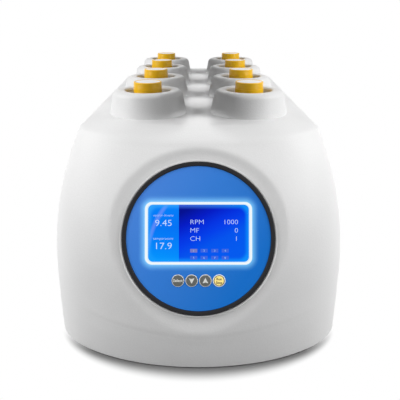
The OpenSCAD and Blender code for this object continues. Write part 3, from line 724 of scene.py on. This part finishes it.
# Moulded black ABS with a satin face: charcoal, with a soft line of light along its edge.
bezel_abs = grained(
    "moulded_satin_abs_black",
    0.8,
    0.008,
    "#222225",
    "#262629",
    Roughness=0.45,
    IOR=1.54,
    Specular_IOR_Level=0.15,
)
fit(bezel, "housing", "bezel_black", bezel_abs, "dial_bezel")

# The cover has a low lip, moulded round the hole, that the bezel sits inside. It stands higher
# below the dial. Its profile is given from the bezel's edge.
LIP_LEAST, LIP_GROWTH = 0.2, 1.3
lip_profile = [(0.1, -3.0), (3.0, -3.0), (2.4, 0.2), (1.7, 1.4), (1.2, 1.8), (0.8, 1.8), (0.1, 1.0)]
dial_lip = turned("dial_lip", [(BEZEL_R + across, height) for across, height in lip_profile], 160)
for vertex in dial_lip.data.vertices:
    if vertex.co.z > 0:
        below_middle = -LIP_GROWTH * vertex.co.y / MM / BEZEL_R
        vertex.co.z *= mix(LIP_LEAST, 1.0, min(1, max(0, below_middle)))
dial_lip.data.transform(DIAL)
smooth(dial_lip, 40)
fit(dial_lip, "housing", "housing_white", satin_abs)

# ---- Fascia ----
# A 2 mm polycarbonate disc, screen printed blue on its back, with a window for the display and a
# round hole for each key. Light from the display's frame spreads a few millimetres into it, and the
# ink itself is given a faint glow all over, which is painted light.
SCREEN_W, SCREEN_H, SCREEN_UP, GLOW_W, GLOW_SIDE = 112.0, 63.5, 5.8, 3.0, 3.45
FRAME_W, FRAME_H = SCREEN_W + 2 * GLOW_SIDE, SCREEN_H + 2 * GLOW_W
FRAME_ROUND, SCREEN_ROUND = 8.0, 5.5
FASCIA_PLAY, FASCIA_CHAMFER, WINDOW_PLAY = 0.2, 0.25, 0.1
KEY_R, KEY_GAP, KEY_PITCH, KEY_DOWN = 6.8, 0.35, 15.2, 46.6
KEYS = ("select", "down", "up", "run")


def at_dial(x, y, z=0.0):
    """The matrix that puts a piece at a place on the dial, in millimetres."""
    return DIAL @ Matrix.Translation((x * MM, y * MM, z * MM))


def key_x(i):
    return (i - (len(KEYS) - 1) / 2) * KEY_PITCH


def rounded_plate(name, width, height, corner, low, high, segments=8):
    """A flat plate with round corners, lying in the dial's own frame, between two heights."""
    deselect()
    bpy.ops.mesh.primitive_plane_add(size=1)
    piece = bpy.context.object
    piece.name = name
    for vertex in piece.data.vertices:
        vertex.co = (vertex.co.x * width * MM, vertex.co.y * height * MM, low * MM)
    open_up()
    bpy.ops.mesh.bevel(offset=corner * MM, segments=segments, affect="VERTICES")
    bpy.ops.mesh.select_all(action="SELECT")
    bpy.ops.mesh.extrude_region_move(TRANSFORM_OT_translate={"value": (0, 0, (high - low) * MM)})
    close_up()
    return piece


disc_r = FASCIA_R - FASCIA_PLAY
fascia_profile = [(0, FASCIA_BACK), (disc_r, FASCIA_BACK), (disc_r, FASCIA_TOP - FASCIA_CHAMFER)]
fascia_profile += [(disc_r - FASCIA_CHAMFER, FASCIA_TOP), (0, FASCIA_TOP)]
fascia = turned("fascia_disc", fascia_profile, 128, closed=False)
window = rounded_plate(
    "window", FRAME_W + 2 * WINDOW_PLAY, FRAME_H + 2 * WINDOW_PLAY, FRAME_ROUND + WINDOW_PLAY, -4, 4
)
window.data.transform(Matrix.Translation((0, SCREEN_UP * MM, 0)))
key_places = [Matrix.Translation((key_x(i) * MM, -KEY_DOWN * MM, 0)) for i in range(len(KEYS))]
key_holes = [rod(KEY_R + KEY_GAP, 8, place, 48) for place in key_places]
cut(fascia, window, *key_holes)
fascia.data.transform(DIAL)
smooth(fascia, 30)


def dial_place(tree, x=0.0, y=0.0):
    """Coordinates in millimetres on the dial's face, from a point of it."""
    turn = Matrix.Rotation(math.radians(DIAL_TILT - 90), 3, "X")
    shift = -(turn @ DIAL.translation) / MM - Vector((x, y, 0))
    place = add(tree, "TexCoord").outputs["Object"]
    return add(
        tree, "Mapping", Vector=place, Location=shift, Rotation=turn.to_euler(), Scale=(1 / MM,) * 3
    ).outputs[0]


def frame_distance(tree, place, width, height, corner):
    """Distance in millimetres outside a round-cornered rectangle about the display's centre."""
    centred = add(tree, "VectorMath", {"operation": "SUBTRACT"}, place, (0, SCREEN_UP, 0))
    folded = add(tree, "VectorMath", {"operation": "ABSOLUTE"}, centred)
    straight = (width / 2 - corner, height / 2 - corner, 1000)
    beyond = add(tree, "VectorMath", {"operation": "SUBTRACT"}, folded, straight)
    outside = add(tree, "VectorMath", {"operation": "MAXIMUM"}, beyond, (0, 0, 0))
    length = add(tree, "VectorMath", {"operation": "LENGTH"}, outside).outputs["Value"]
    return add(tree, "Math", {"operation": "SUBTRACT"}, length, corner)


# Blue ink seen through polished polycarbonate: clear colour that goes from a paler to a deeper blue
# across the disc, a soft gloss, and a cyan glow that fades over 8 mm from the lit frame. The ink
# itself also glows faintly all over: painted light that brightens the disc.
GLOW_REACH = 8.0
blue_print, tree, shader = finish(
    "screen_printed_polycarbonate_blue",
    Roughness=0.3,
    IOR=1.58,
    Specular_IOR_Level=0.15,
    Emission_Strength=1.0,
)
place = dial_place(tree)
slope = add(
    tree, "VectorMath", {"operation": "DOT_PRODUCT"}, place, (0.0042, -0.003, 0)
).outputs["Value"]
along = add(tree, "Math", {"operation": "ADD"}, slope, 0.5)
ink_blues = ((0.1, "#4886DF"), (0.4, "#357DD7"), (0.6, "#2B77D1"), (0.85, "#106FCC"))
ink = add(tree, "ValToRGB", None, along, stops=ink_blues)
speck = add(tree, "TexNoise", Vector=place, Scale=0.5, Detail=2.0)
ink_mix = add(
    tree, "Mix", COLOURS | {"blend_type": "MULTIPLY"}, 0.06, _6=ink, _7=speck.outputs["Color"]
).outputs[2]
feed(tree, shader, Base_Color=ink_mix)
away = frame_distance(tree, place, FRAME_W, FRAME_H, FRAME_ROUND)
fade = add(tree, "MapRange", None, away, 0.0, GLOW_REACH, 1.0, 0.0)
soft_fade = add(tree, "Math", {"operation": "POWER"}, fade, 1.7)
glow = add(tree, "ValToRGB", None, soft_fade, stops=((0.0, "#000000"), (1.0, "#6FA4A4")))
# A share of the ink's own blue is added to the frame's glow everywhere on the disc: painted light.
frame_glow_and_painted_ink_light = add(tree, "Mix", COLOURS | {"blend_type": "ADD"}, 0.22, _6=glow, _7=ink).outputs[2]
feed(tree, shader, Emission_Color=frame_glow_and_painted_ink_light)
fit(fascia, "housing", "fascia_blue", blue_print, "fascia")

# ---- Display ----
# A light guide in opal acrylic stands round the display and glows white. The display itself is a
# colour LCD bonded under clear glass, a millimetre below the fascia's face.
GUIDE_PROUD, GUIDE_SUNK = 0.15, 1.0
guide = rounded_plate(
    "light_guide", FRAME_W, FRAME_H, FRAME_ROUND, FASCIA_BACK - GUIDE_SUNK, FASCIA_TOP + GUIDE_PROUD
)
opening = rounded_plate("opening", SCREEN_W, SCREEN_H, SCREEN_ROUND, -6, 6)
cut(guide, opening)
guide.data.transform(at_dial(0, SCREEN_UP))
smooth(guide, 30)
# Opal acrylic lit from behind: even white light with a breath of cyan at its edges.
opal, tree, shader = finish(
    "lit_opal_acrylic",
    Roughness=0.4,
    IOR=1.49,
    Specular_IOR_Level=0.1,
    Emission_Strength=0.95,
    Base_Color="#30363C",
)
place = dial_place(tree)
away = frame_distance(tree, place, FRAME_W, FRAME_H, FRAME_ROUND)
middle = add(tree, "MapRange", None, away, -GLOW_W, 0.0)
opal_light = (0.0, "#D2ECFA"), (0.3, "#F3F9FD"), (0.8, "#F3F9FD"), (1.0, "#D6EEFA")
light = add(tree, "ValToRGB", None, middle, stops=opal_light)
feed(tree, shader, Emission_Color=light)
fit(guide, "housing", "light_white", opal, "light_frame")

SCREEN_TOP, SCREEN_BACK, SCREEN_PLAY, LEFT_SHARE = 0.5, -14.0, 0.1, 0.306
display = rounded_plate(
    "display", SCREEN_W - SCREEN_PLAY, SCREEN_H - SCREEN_PLAY, SCREEN_ROUND, SCREEN_BACK, SCREEN_TOP
)
display.data.transform(at_dial(0, SCREEN_UP))
smooth(display, 30)
# A lit LCD under glass: a bright azure column on the left, a deep blue field that lightens
# downwards on the right, faint sweeping bands, and a glow that creeps in from the lit frame.
lcd, tree, shader = finish(
    "lit_lcd_under_glass",
    Roughness=0.12,
    IOR=1.52,
    Specular_IOR_Level=0.02,
    Emission_Strength=1.0,
    Base_Color="#000206",
)
place = dial_place(tree)
axes = add(tree, "SeparateXYZ", Vector=place)
screen_top, screen_foot = SCREEN_UP + SCREEN_H / 2, SCREEN_UP - SCREEN_H / 2
across = add(tree, "MapRange", None, axes.outputs["X"], -SCREEN_W / 2, SCREEN_W / 2)
down = add(tree, "MapRange", None, axes.outputs["Y"], screen_top, screen_foot)
field_slope = add(tree, "Math", {"operation": "MULTIPLY_ADD"}, across, 0.9, down)
field_share = add(tree, "MapRange", None, field_slope, 0.35, 1.55)
field_blues = (
    (0.08, "#000284"),
    (0.28, "#0015C1"),
    (0.45, "#0031DF"),
    (0.58, "#003FE9"),
    (0.76, "#0055EC"),
    (1.0, "#005AEE"),
)
field = add(tree, "ValToRGB", None, field_share, stops=field_blues)
column_blues = ((0.0, "#0082FA"), (0.4, "#0076F4"), (0.75, "#0086FA"), (1.0, "#0096FE"))
column = add(tree, "ValToRGB", None, down, stops=column_blues)
streak_arc = add(
    tree, "VectorMath", {"operation": "DISTANCE"}, place, (42, -25, 0)
).outputs["Value"]
off_arc = add(tree, "Math", {"operation": "SUBTRACT"}, streak_arc, 99.3)
side_of_arc = add(tree, "Math", {"operation": "ABSOLUTE"}, off_arc)
streak = add(tree, "MapRange", EASED, side_of_arc, 0.0, 3.5, 0.4, 0.0)
lit_column = add(tree, "Mix", COLOURS, streak, _6=column, _7="#8CA0FF").outputs[2]
is_left = add(tree, "Math", {"operation": "LESS_THAN"}, across, LEFT_SHARE)
panels = add(tree, "Mix", COLOURS, is_left, _6=field, _7=lit_column).outputs[2]
swirl = add(
    tree,
    "TexWave",
    {"wave_type": "RINGS", "rings_direction": "Z"},
    Vector=place,
    Scale=0.006,
    Distortion=3.0,
    Detail=1.0,
)
band = add(tree, "MapRange", None, swirl.outputs["Fac"], 0.0, 1.0, 0.0, 0.07)
swept = add(tree, "Mix", COLOURS, band, _6=panels, _7="#1040FF").outputs[2]
inside = frame_distance(tree, place, SCREEN_W, SCREEN_H, 12.0)
creep = add(tree, "MapRange", EASED, inside, -6.0, 0.5, 0.0, 0.75)
creep_blues = (
    (0.3, "#34A8FF"),
    (0.31, "#466EF4"),
    (0.65, "#3684F8"),
    (0.92, "#109CFF"),
    (1.0, "#10A0FF"),
)
from_above = add(tree, "ValToRGB", None, across, stops=creep_blues)
creeping = add(tree, "Mix", COLOURS, down, _6=from_above, _7="#109CFF").outputs[2]
lit = add(tree, "Mix", COLOURS, creep, _6=swept, _7=creeping).outputs[2]
feed(tree, shader, Emission_Color=lit)
fit(display, "housing", "display_blue", lcd, "lcd_module")


def lettering(name, words, height, x, y, lift, align="LEFT", wide=1.14, bold=0.0, thick=0.05):
    """Plain lettering as a thin mesh on the dial, its capitals this high, in millimetres."""
    deselect()
    bpy.ops.object.text_add()
    piece = bpy.context.object
    piece.data.body = words
    piece.data.align_x, piece.data.align_y = align, "BOTTOM_BASELINE"
    piece.data.size, piece.data.extrude = height / 0.7 * MM, thick / 2 * MM
    piece.data.resolution_u, piece.data.offset = 4, bold * MM
    bpy.ops.object.convert(target="MESH")
    piece = bpy.context.object
    piece.name = name
    piece.data.transform(Matrix.Diagonal((wide, 1, 1, 1)))
    piece.data.transform(at_dial(x, y, lift + thick / 2))
    return piece


def joined(name, *pieces):
    """Several meshes made into one piece."""
    choose(pieces[0])
    for piece in pieces:
        piece.select_set(True)
    bpy.ops.object.join()
    bpy.context.object.name = name
    return bpy.context.object


def screen_x(share):
    return (share - 0.5) * SCREEN_W


def screen_y(share):
    return SCREEN_UP + (0.5 - share) * SCREEN_H


# The readings are plain figures: two measured values on the left, three settings and eight numbered
# tiles on the right, all of them lit parts of the display.
figures = [
    lettering("value", "9.45", 7.0, screen_x(0.066), screen_y(0.373), SCREEN_TOP, bold=-0.11),
    lettering("value", "17.9", 7.3, screen_x(0.058), screen_y(0.777), SCREEN_TOP, bold=-0.11),
]
for share, word, value in ((0.343, "RPM", "1000"), (0.489, "MF", "0"), (0.633, "CH", "1")):
    word_x, value_x, y = screen_x(0.414), screen_x(0.894), screen_y(share)
    figures.append(lettering("word", word, 5.2, word_x, y, SCREEN_TOP, bold=-0.13))
    figures.append(lettering("number", value, 5.2, value_x, y, SCREEN_TOP, "RIGHT", bold=-0.13))
for share, words, height in ((0.205, "optical density", 2.4), (0.612, "temperature", 2.7)):
    y = screen_y(share)
    figures.append(lettering("caption", words, height, screen_x(0.05), y, SCREEN_TOP, bold=-0.05))
readings = joined("readings", *figures)


def lit_patch(name, pale, deep, scale=0.5, unlit="#05070C"):
    """A part of the display that is lit in a colour of its own, faintly uneven."""
    made, tree, shader = finish(name, Emission_Strength=1.0, Base_Color=unlit)
    cells = add(tree, "TexNoise", Vector=dial_place(tree), Scale=scale, Detail=1.0)
    patches = add(tree, "ValToRGB", None, cells, stops=((0.3, pale), (0.7, deep)))
    feed(tree, shader, Emission_Color=patches)
    return made


# Lit characters: pale blue-white.
characters = lit_patch("lit_characters", "#B9D4FA", "#D3E6FF", 0.8, "#0A1830")
fit(readings, "housing", "light_white", characters)

TILE_COLUMNS, TILE_ROWS = (0.418, 0.521, 0.626, 0.730), ((0.773, 0.836), (0.896, 0.960))
TILE_SHARE, TILE_T, NUMBER_TOP = 0.069, 0.03, SCREEN_TOP + 0.02
tiles, numbers = [], []
for row, (upper, lower) in enumerate(TILE_ROWS):
    for place_in_row, left in enumerate(TILE_COLUMNS):
        tile_x = screen_x(left + TILE_SHARE / 2)
        tile_h = (lower - upper) * SCREEN_H
        tile = rounded_plate("tile", TILE_SHARE * SCREEN_W, tile_h, 0.3, 0, TILE_T, 2)
        tile.data.transform(at_dial(tile_x, screen_y((upper + lower) / 2), SCREEN_TOP))
        tiles.append(tile)
        digit, number_y = str(4 * row + place_in_row + 1), screen_y(lower) + 0.9
        numbers.append(lettering("tile_number", digit, 2.2, tile_x, number_y, NUMBER_TOP, "CENTER"))
chosen_tile, other_tiles = tiles[0], joined("tiles", *tiles[1:])
chosen_tile.name = "chosen_tile"
fit(chosen_tile, "housing", "display_blue", lit_patch("lit_tile_violet", "#6E6EBA", "#6870BE"))
fit(other_tiles, "housing", "display_blue", lit_patch("lit_tile_blue", "#0050DA", "#1058DE"))
lit_numbers = lit_patch("lit_numbers", "#8FB4F0", "#A8C6FA")
fit(joined("tile_numbers", *numbers), "housing", "light_white", lit_numbers)

# ---- Keys ----
# Four round keys in silicone-topped ABS stand just proud of the fascia, each on its own switch.
# Three are dark grey with a pale printed ring. The last is cream, its dark ring inside a pale one.
KEY_LOW, KEY_TOP, FLANGE_R, FLANGE_TOP, KEY_ROUND, RING_REACH = -4.0, 2.2, 7.4, -2.1, 0.6, 8.0
key_profile = [(0, KEY_LOW), (FLANGE_R, KEY_LOW), (FLANGE_R, FLANGE_TOP), (KEY_R, FLANGE_TOP)]
key_profile += [(KEY_R, KEY_TOP - 0.7)]
key_profile += arc(KEY_R - KEY_ROUND, KEY_TOP - 0.65, KEY_ROUND, 0, 80, 5)
key_profile += [(KEY_R * 0.6, KEY_TOP), (0, KEY_TOP)]
key_pattern = turned("key", key_profile, 64, closed=False)
smooth(key_pattern, 35)


def key_finish(name, x, lit, *rings):
    """Silicone rubber over ABS: dull and soft, with a faint peel and printed rings.

    A ring is (inner radius, hex colour), from the middle outwards. A share of it is lit from behind.
    """
    made, tree, shader = finish(
        name, Roughness=0.55, Specular_IOR_Level=0.35, Emission_Strength=lit
    )
    place = dial_place(tree, x, -KEY_DOWN)
    flat = add(tree, "VectorMath", {"operation": "MULTIPLY"}, place, (1, 1, 0))
    radius = add(tree, "VectorMath", {"operation": "LENGTH"}, flat).outputs["Value"]
    share = add(tree, "Math", {"operation": "DIVIDE"}, radius, RING_REACH)
    stops = [(r / RING_REACH, code) for r, code in rings]
    colours = add(tree, "ValToRGB", None, share, stops=stops)
    colours.color_ramp.interpolation = "CONSTANT"
    peel = add(tree, "TexNoise", Vector=place, Scale=1.2, Detail=2.0)
    bump = add(tree, "Bump", Strength=0.5, Distance=0.02 * MM, Height=peel)
    feed(tree, shader, Base_Color=colours, Emission_Color=colours, Normal=bump)
    return made


# Printed legends: flat ink, off-white on the grey keys and dark brown on the cream one.
white_ink = grained("printed_ink_white", 0.5, 0.005, "#FAFBF8", "#F0F2EE", Roughness=0.6)
brown_ink = grained("printed_ink_dark", 0.5, 0.005, "#5B5038", "#4F4631", Roughness=0.6)

ARROW = (0, 3.4), (-3.2, -2.8), (0, -1.9), (3.2, -2.8)


def arrow(name, x, turn):
    """A printed triangle with a notched base, pointing up or, turned, down."""
    deselect()
    bpy.ops.mesh.primitive_circle_add(vertices=4, radius=1, fill_type="NGON")
    piece = bpy.context.object
    piece.name = name
    for vertex, (px, py) in zip(piece.data.vertices, ARROW):
        vertex.co = (px * turn * MM, py * turn * MM, 0)
    open_up()
    bpy.ops.mesh.extrude_region_move(TRANSFORM_OT_translate={"value": (0, 0, 0.05 * MM)})
    close_up()
    piece.data.transform(at_dial(x, -KEY_DOWN, KEY_TOP))
    return piece


CREAM_RINGS = (0, "#FFE78C"), (5.2, "#4A4433"), (6.05, "#E6E8E2")
GREY_RINGS = (0, "#696B68"), (6.15, "#F2F4EE")
for i, key in enumerate(KEYS):
    piece = twin(key_pattern, f"{key}_key", at_dial(key_x(i), -KEY_DOWN))
    if key == "run":
        look = key_finish("silicone_key_cream", key_x(i), 0.3, *CREAM_RINGS)
    else:
        look = key_finish(f"silicone_key_grey_{key}", key_x(i), 0.0, *GREY_RINGS)
    fit(piece, f"{key}_button", "key_cream" if key == "run" else "key_grey", look, f"key_{key}")
bpy.data.objects.remove(key_pattern)
fit(
    lettering(
        "select_legend", "Select", 3.0, key_x(0), -KEY_DOWN - 1.2, KEY_TOP, "CENTER", 1.0, 0.1
    ),
    "select_button",
    "light_white",
    white_ink,
)
fit(arrow("down_legend", key_x(1), -1), "down_button", "light_white", white_ink)
fit(arrow("up_legend", key_x(2), 1), "up_button", "light_white", white_ink)
run_words = [
    lettering("run_word", "Run", 2.7, key_x(3), -KEY_DOWN + 0.6, KEY_TOP, "CENTER", 1.0, 0.1),
    lettering("stop_word", "Stop", 2.7, key_x(3), -KEY_DOWN - 3.4, KEY_TOP, "CENTER", 1.0, 0.1),
]
fit(joined("run_legend", *run_words), "run_button", "bezel_black", brown_ink)

# ---- Rear panel ----
# A 2 mm steel plate sits in a recess at the back: powder coated, with exhaust slots, the mains
# inlet, the power switch and a data port. Moulded ports snap into it.
dress(powder_grey, "rear_panel")
# Moulded nylon: black with a fine grain and a soft sheen.
port_black = grained("moulded_nylon_black", 0.7, 0.015, "#17181A", "#1F2022", Roughness=0.45)
dress(port_black, "power_inlet", "switch_housing", "switch_rocker")
dress(zinc, "usb_port")

# The rocker carries a raised bar and ring for on and off, moulded in and painted white.
ROCKER_HALF, ROCKER_EDGE, ROCKER_MIDDLE, ROCKER_PIVOT, ROCKER_TILT = 7.2, 3.8, 2.8, -1.0, 8.0
rocker_low, rocker_high = (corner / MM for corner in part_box("switch_rocker"))
ROCKER = (
    Matrix.Translation(Vector(((rocker_low.x + rocker_high.x) / 2, panel_high.y, panel_mid.z)) * MM)
    @ Matrix.Rotation(math.pi, 4, "Z")
    @ Matrix.Rotation(math.pi / 2, 4, "X")
    @ Matrix.Translation((0, 0, ROCKER_PIVOT * MM))
    @ Matrix.Rotation(math.radians(ROCKER_TILT), 4, "X")
)


def at_rocker(y):
    """The matrix that lays a mark on the rocker's upper or lower half."""
    slope = (ROCKER_EDGE - ROCKER_MIDDLE) / ROCKER_HALF
    lift = ROCKER_MIDDLE + abs(y) * slope
    return (
        ROCKER
        @ Matrix.Translation((0, y * MM, lift * MM))
        @ Matrix.Rotation(math.copysign(math.atan(slope), y), 4, "X")
    )


on_mark = rounded_plate("on_mark", 0.8, 3.4, 0.2, -0.1, 0.08, 2)
on_mark.data.transform(at_rocker(4.0))
off_mark = turned("off_mark", [(1.1, -0.1), (1.8, -0.1), (1.8, 0.08), (1.1, 0.08)], 32)
off_mark.data.transform(at_rocker(-4.0))
fit(joined("rocker_marks", on_mark, off_mark), "rocker", "light_white", white_ink)

# ---- Stage ----
# A wide white sweep and soft light, as in a studio: on each side one panel in front and one high
# up, a weak one overhead, and a flag that keeps each side's light off the deck's far side.
deselect()
bpy.ops.mesh.primitive_plane_add(size=12, location=(0, 0, 0))
floor = bpy.context.object
floor.name = "floor"
# Paper sweep: plain white to the eye, with a soft shadow close round the cover.
paper = bpy.data.materials.new("white_paper_sweep")
paper.use_nodes = True
tree = paper.node_tree
tree.nodes.clear()
white = add(tree, "Emission", Color=(1, 1, 1, 1), Strength=1.0)
place = add(tree, "TexCoord").outputs["Object"]
folded = add(tree, "VectorMath", {"operation": "ABSOLUTE"}, place)
beyond = add(tree, "VectorMath", {"operation": "SUBTRACT"}, folded, (0, (rear_y - NOSE_D) * MM, 0))
outward = add(tree, "VectorMath", {"operation": "MAXIMUM"}, beyond, (0, 0, 0))
per_nose = (1 / (cover_high.x * MM), 1 / (NOSE_D * MM), 0)
oval = add(tree, "VectorMath", {"operation": "MULTIPLY"}, outward, per_nose)
reach = add(tree, "VectorMath", {"operation": "LENGTH"}, oval).outputs["Value"]
far = add(tree, "VectorMath", {"operation": "LENGTH"}, outward).outputs["Value"]
near = add(tree, "Math", {"operation": "DIVIDE"}, far, reach)
gap = add(tree, "Math", {"operation": "SUBTRACT"}, far, near)
ahead = add(tree, "SeparateXYZ", Vector=oval).outputs["Y"]
facing = add(tree, "Math", {"operation": "DIVIDE"}, ahead, reach)
# The shadow under the cover is widest in front, and the floor is plain white along the sides. The
# shadow is the lamps' own, but the band where it shows and fades to white is painted.
SHADE_NARROW, SHADE_WIDE = 0.5 * MM, 24 * MM
width = add(tree, "MapRange", None, facing, 0.15, 1.0, SHADE_NARROW, SHADE_WIDE)
share_out = add(tree, "Math", {"operation": "DIVIDE"}, gap, width)
shade = add(tree, "MapRange", EASED, share_out, 0.0, 1.0, 1.0, 0.0)
depth = add(tree, "MapRange", EASED, facing, 0.2, 0.75)
shade = add(tree, "Math", {"operation": "MULTIPLY"}, shade, depth)
clear = add(tree, "Math", {"operation": "SUBTRACT"}, 1.0, shade)
seen = add(tree, "LightPath").outputs
seen_any = add(tree, "Math", {"operation": "MAXIMUM"}, seen["Is Camera Ray"], seen["Is Glossy Ray"])
seen_all = add(tree, "Math", {"operation": "MAXIMUM"}, seen_any, seen["Is Transmission Ray"])
share = add(tree, "Math", {"operation": "MULTIPLY"}, clear, seen_all)
# The floor is darker to the eye than in the light it throws back, which deepens the shadow: painted
# shade.
shadow_tone = add(tree, "Mix", COLOURS, seen_all, _6="#949494", _7="#858585").outputs[2]
diffuse = add(tree, "BsdfDiffuse", Color=shadow_tone)
both = add(tree, "MixShader", None, share, diffuse, white)
add(tree, "OutputMaterial", Surface=both)
floor.data.materials.append(paper)
floor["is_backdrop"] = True

world = bpy.data.worlds.new("studio")
bpy.context.scene.world = world
world.use_nodes = True
tree = world.node_tree
tree.nodes.clear()
room = add(tree, "Background", Color=(1, 1, 1, 1), Strength=0.03)
white = add(tree, "Background", Color=(1, 1, 1, 1), Strength=1.0)
seen = add(tree, "LightPath").outputs
direct = add(tree, "Math", {"operation": "MAXIMUM"}, seen["Is Camera Ray"], seen["Is Glossy Ray"])
direct = add(tree, "Math", {"operation": "MAXIMUM"}, direct, seen["Is Transmission Ray"])
backdrop = add(tree, "MixShader", None, direct, room, white)
add(tree, "OutputWorld", Surface=backdrop)


def soft_panel(name, place, target, width, height, power):
    """A large square studio light that faces a point."""
    light = bpy.data.lights.new(name, "AREA")
    light.shape, light.size, light.size_y, light.energy = "RECTANGLE", width, height, power
    lamp = bpy.data.objects.new(name, light)
    bpy.context.scene.collection.objects.link(lamp)
    lamp.location = place
    lamp.rotation_euler = (Vector(target) - Vector(place)).to_track_quat("-Z", "Y").to_euler()
    return lamp


LIGHT_AIM, PANEL_W, PANEL_H, TOP_SIZE = (0, -0.1, 0.2), 1.0, 0.6, 1.2
SIDE_LIGHTS = ("front", (1.4, -0.85, 0.75), 12.0), ("high", (1.2, -0.2, 1.2), 12.2)
for side, across in (("left", -1), ("right", 1)):
    for rank, (x, y, z), power in SIDE_LIGHTS:
        soft_panel(f"{side}_{rank}_light", (across * x, y, z), LIGHT_AIM, PANEL_W, PANEL_H, power)
soft_panel("top_light", (0, 0, 1.9), LIGHT_AIM, TOP_SIZE, TOP_SIZE, 2.2)

# A black flag stands edge-on to the camera over the deck's middle. Only shadow rays see it.
deselect()
bpy.ops.mesh.primitive_plane_add(size=1)
flag = bpy.context.object
flag.name = "flag"
FLAG_CORNERS = (-0.255, 0.012), (0.31, 0.012), (-0.285, 0.072), (0.31, 0.072)
for vertex, (along, over_deck) in zip(flag.data.vertices, FLAG_CORNERS):
    vertex.co = (0, along, deck_z * MM + over_deck)
flag.visible_camera = flag.visible_diffuse = flag.visible_glossy = flag.visible_transmission = False
# Black velvet: it gives back next to no light.
velvet = finish("black_velvet", Base_Color="#020202", Specular_IOR_Level=0)[0]
flag.data.materials.append(velvet)
flag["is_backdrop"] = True

CAMERA_PLACE, CAMERA_TILT = (0, -0.8146, 0.3889), 68.9
camera = bpy.data.cameras.new("camera")
camera.lens, camera.sensor_width, camera.shift_x = 45.45, 36, 0.00375
view = bpy.data.objects.new("camera", camera)
bpy.context.scene.collection.objects.link(view)
view.location = CAMERA_PLACE
view.rotation_euler = (math.radians(CAMERA_TILT), 0, 0)
bpy.context.scene.camera = view
bpy.context.scene.view_settings.view_transform = "Standard"

low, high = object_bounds()
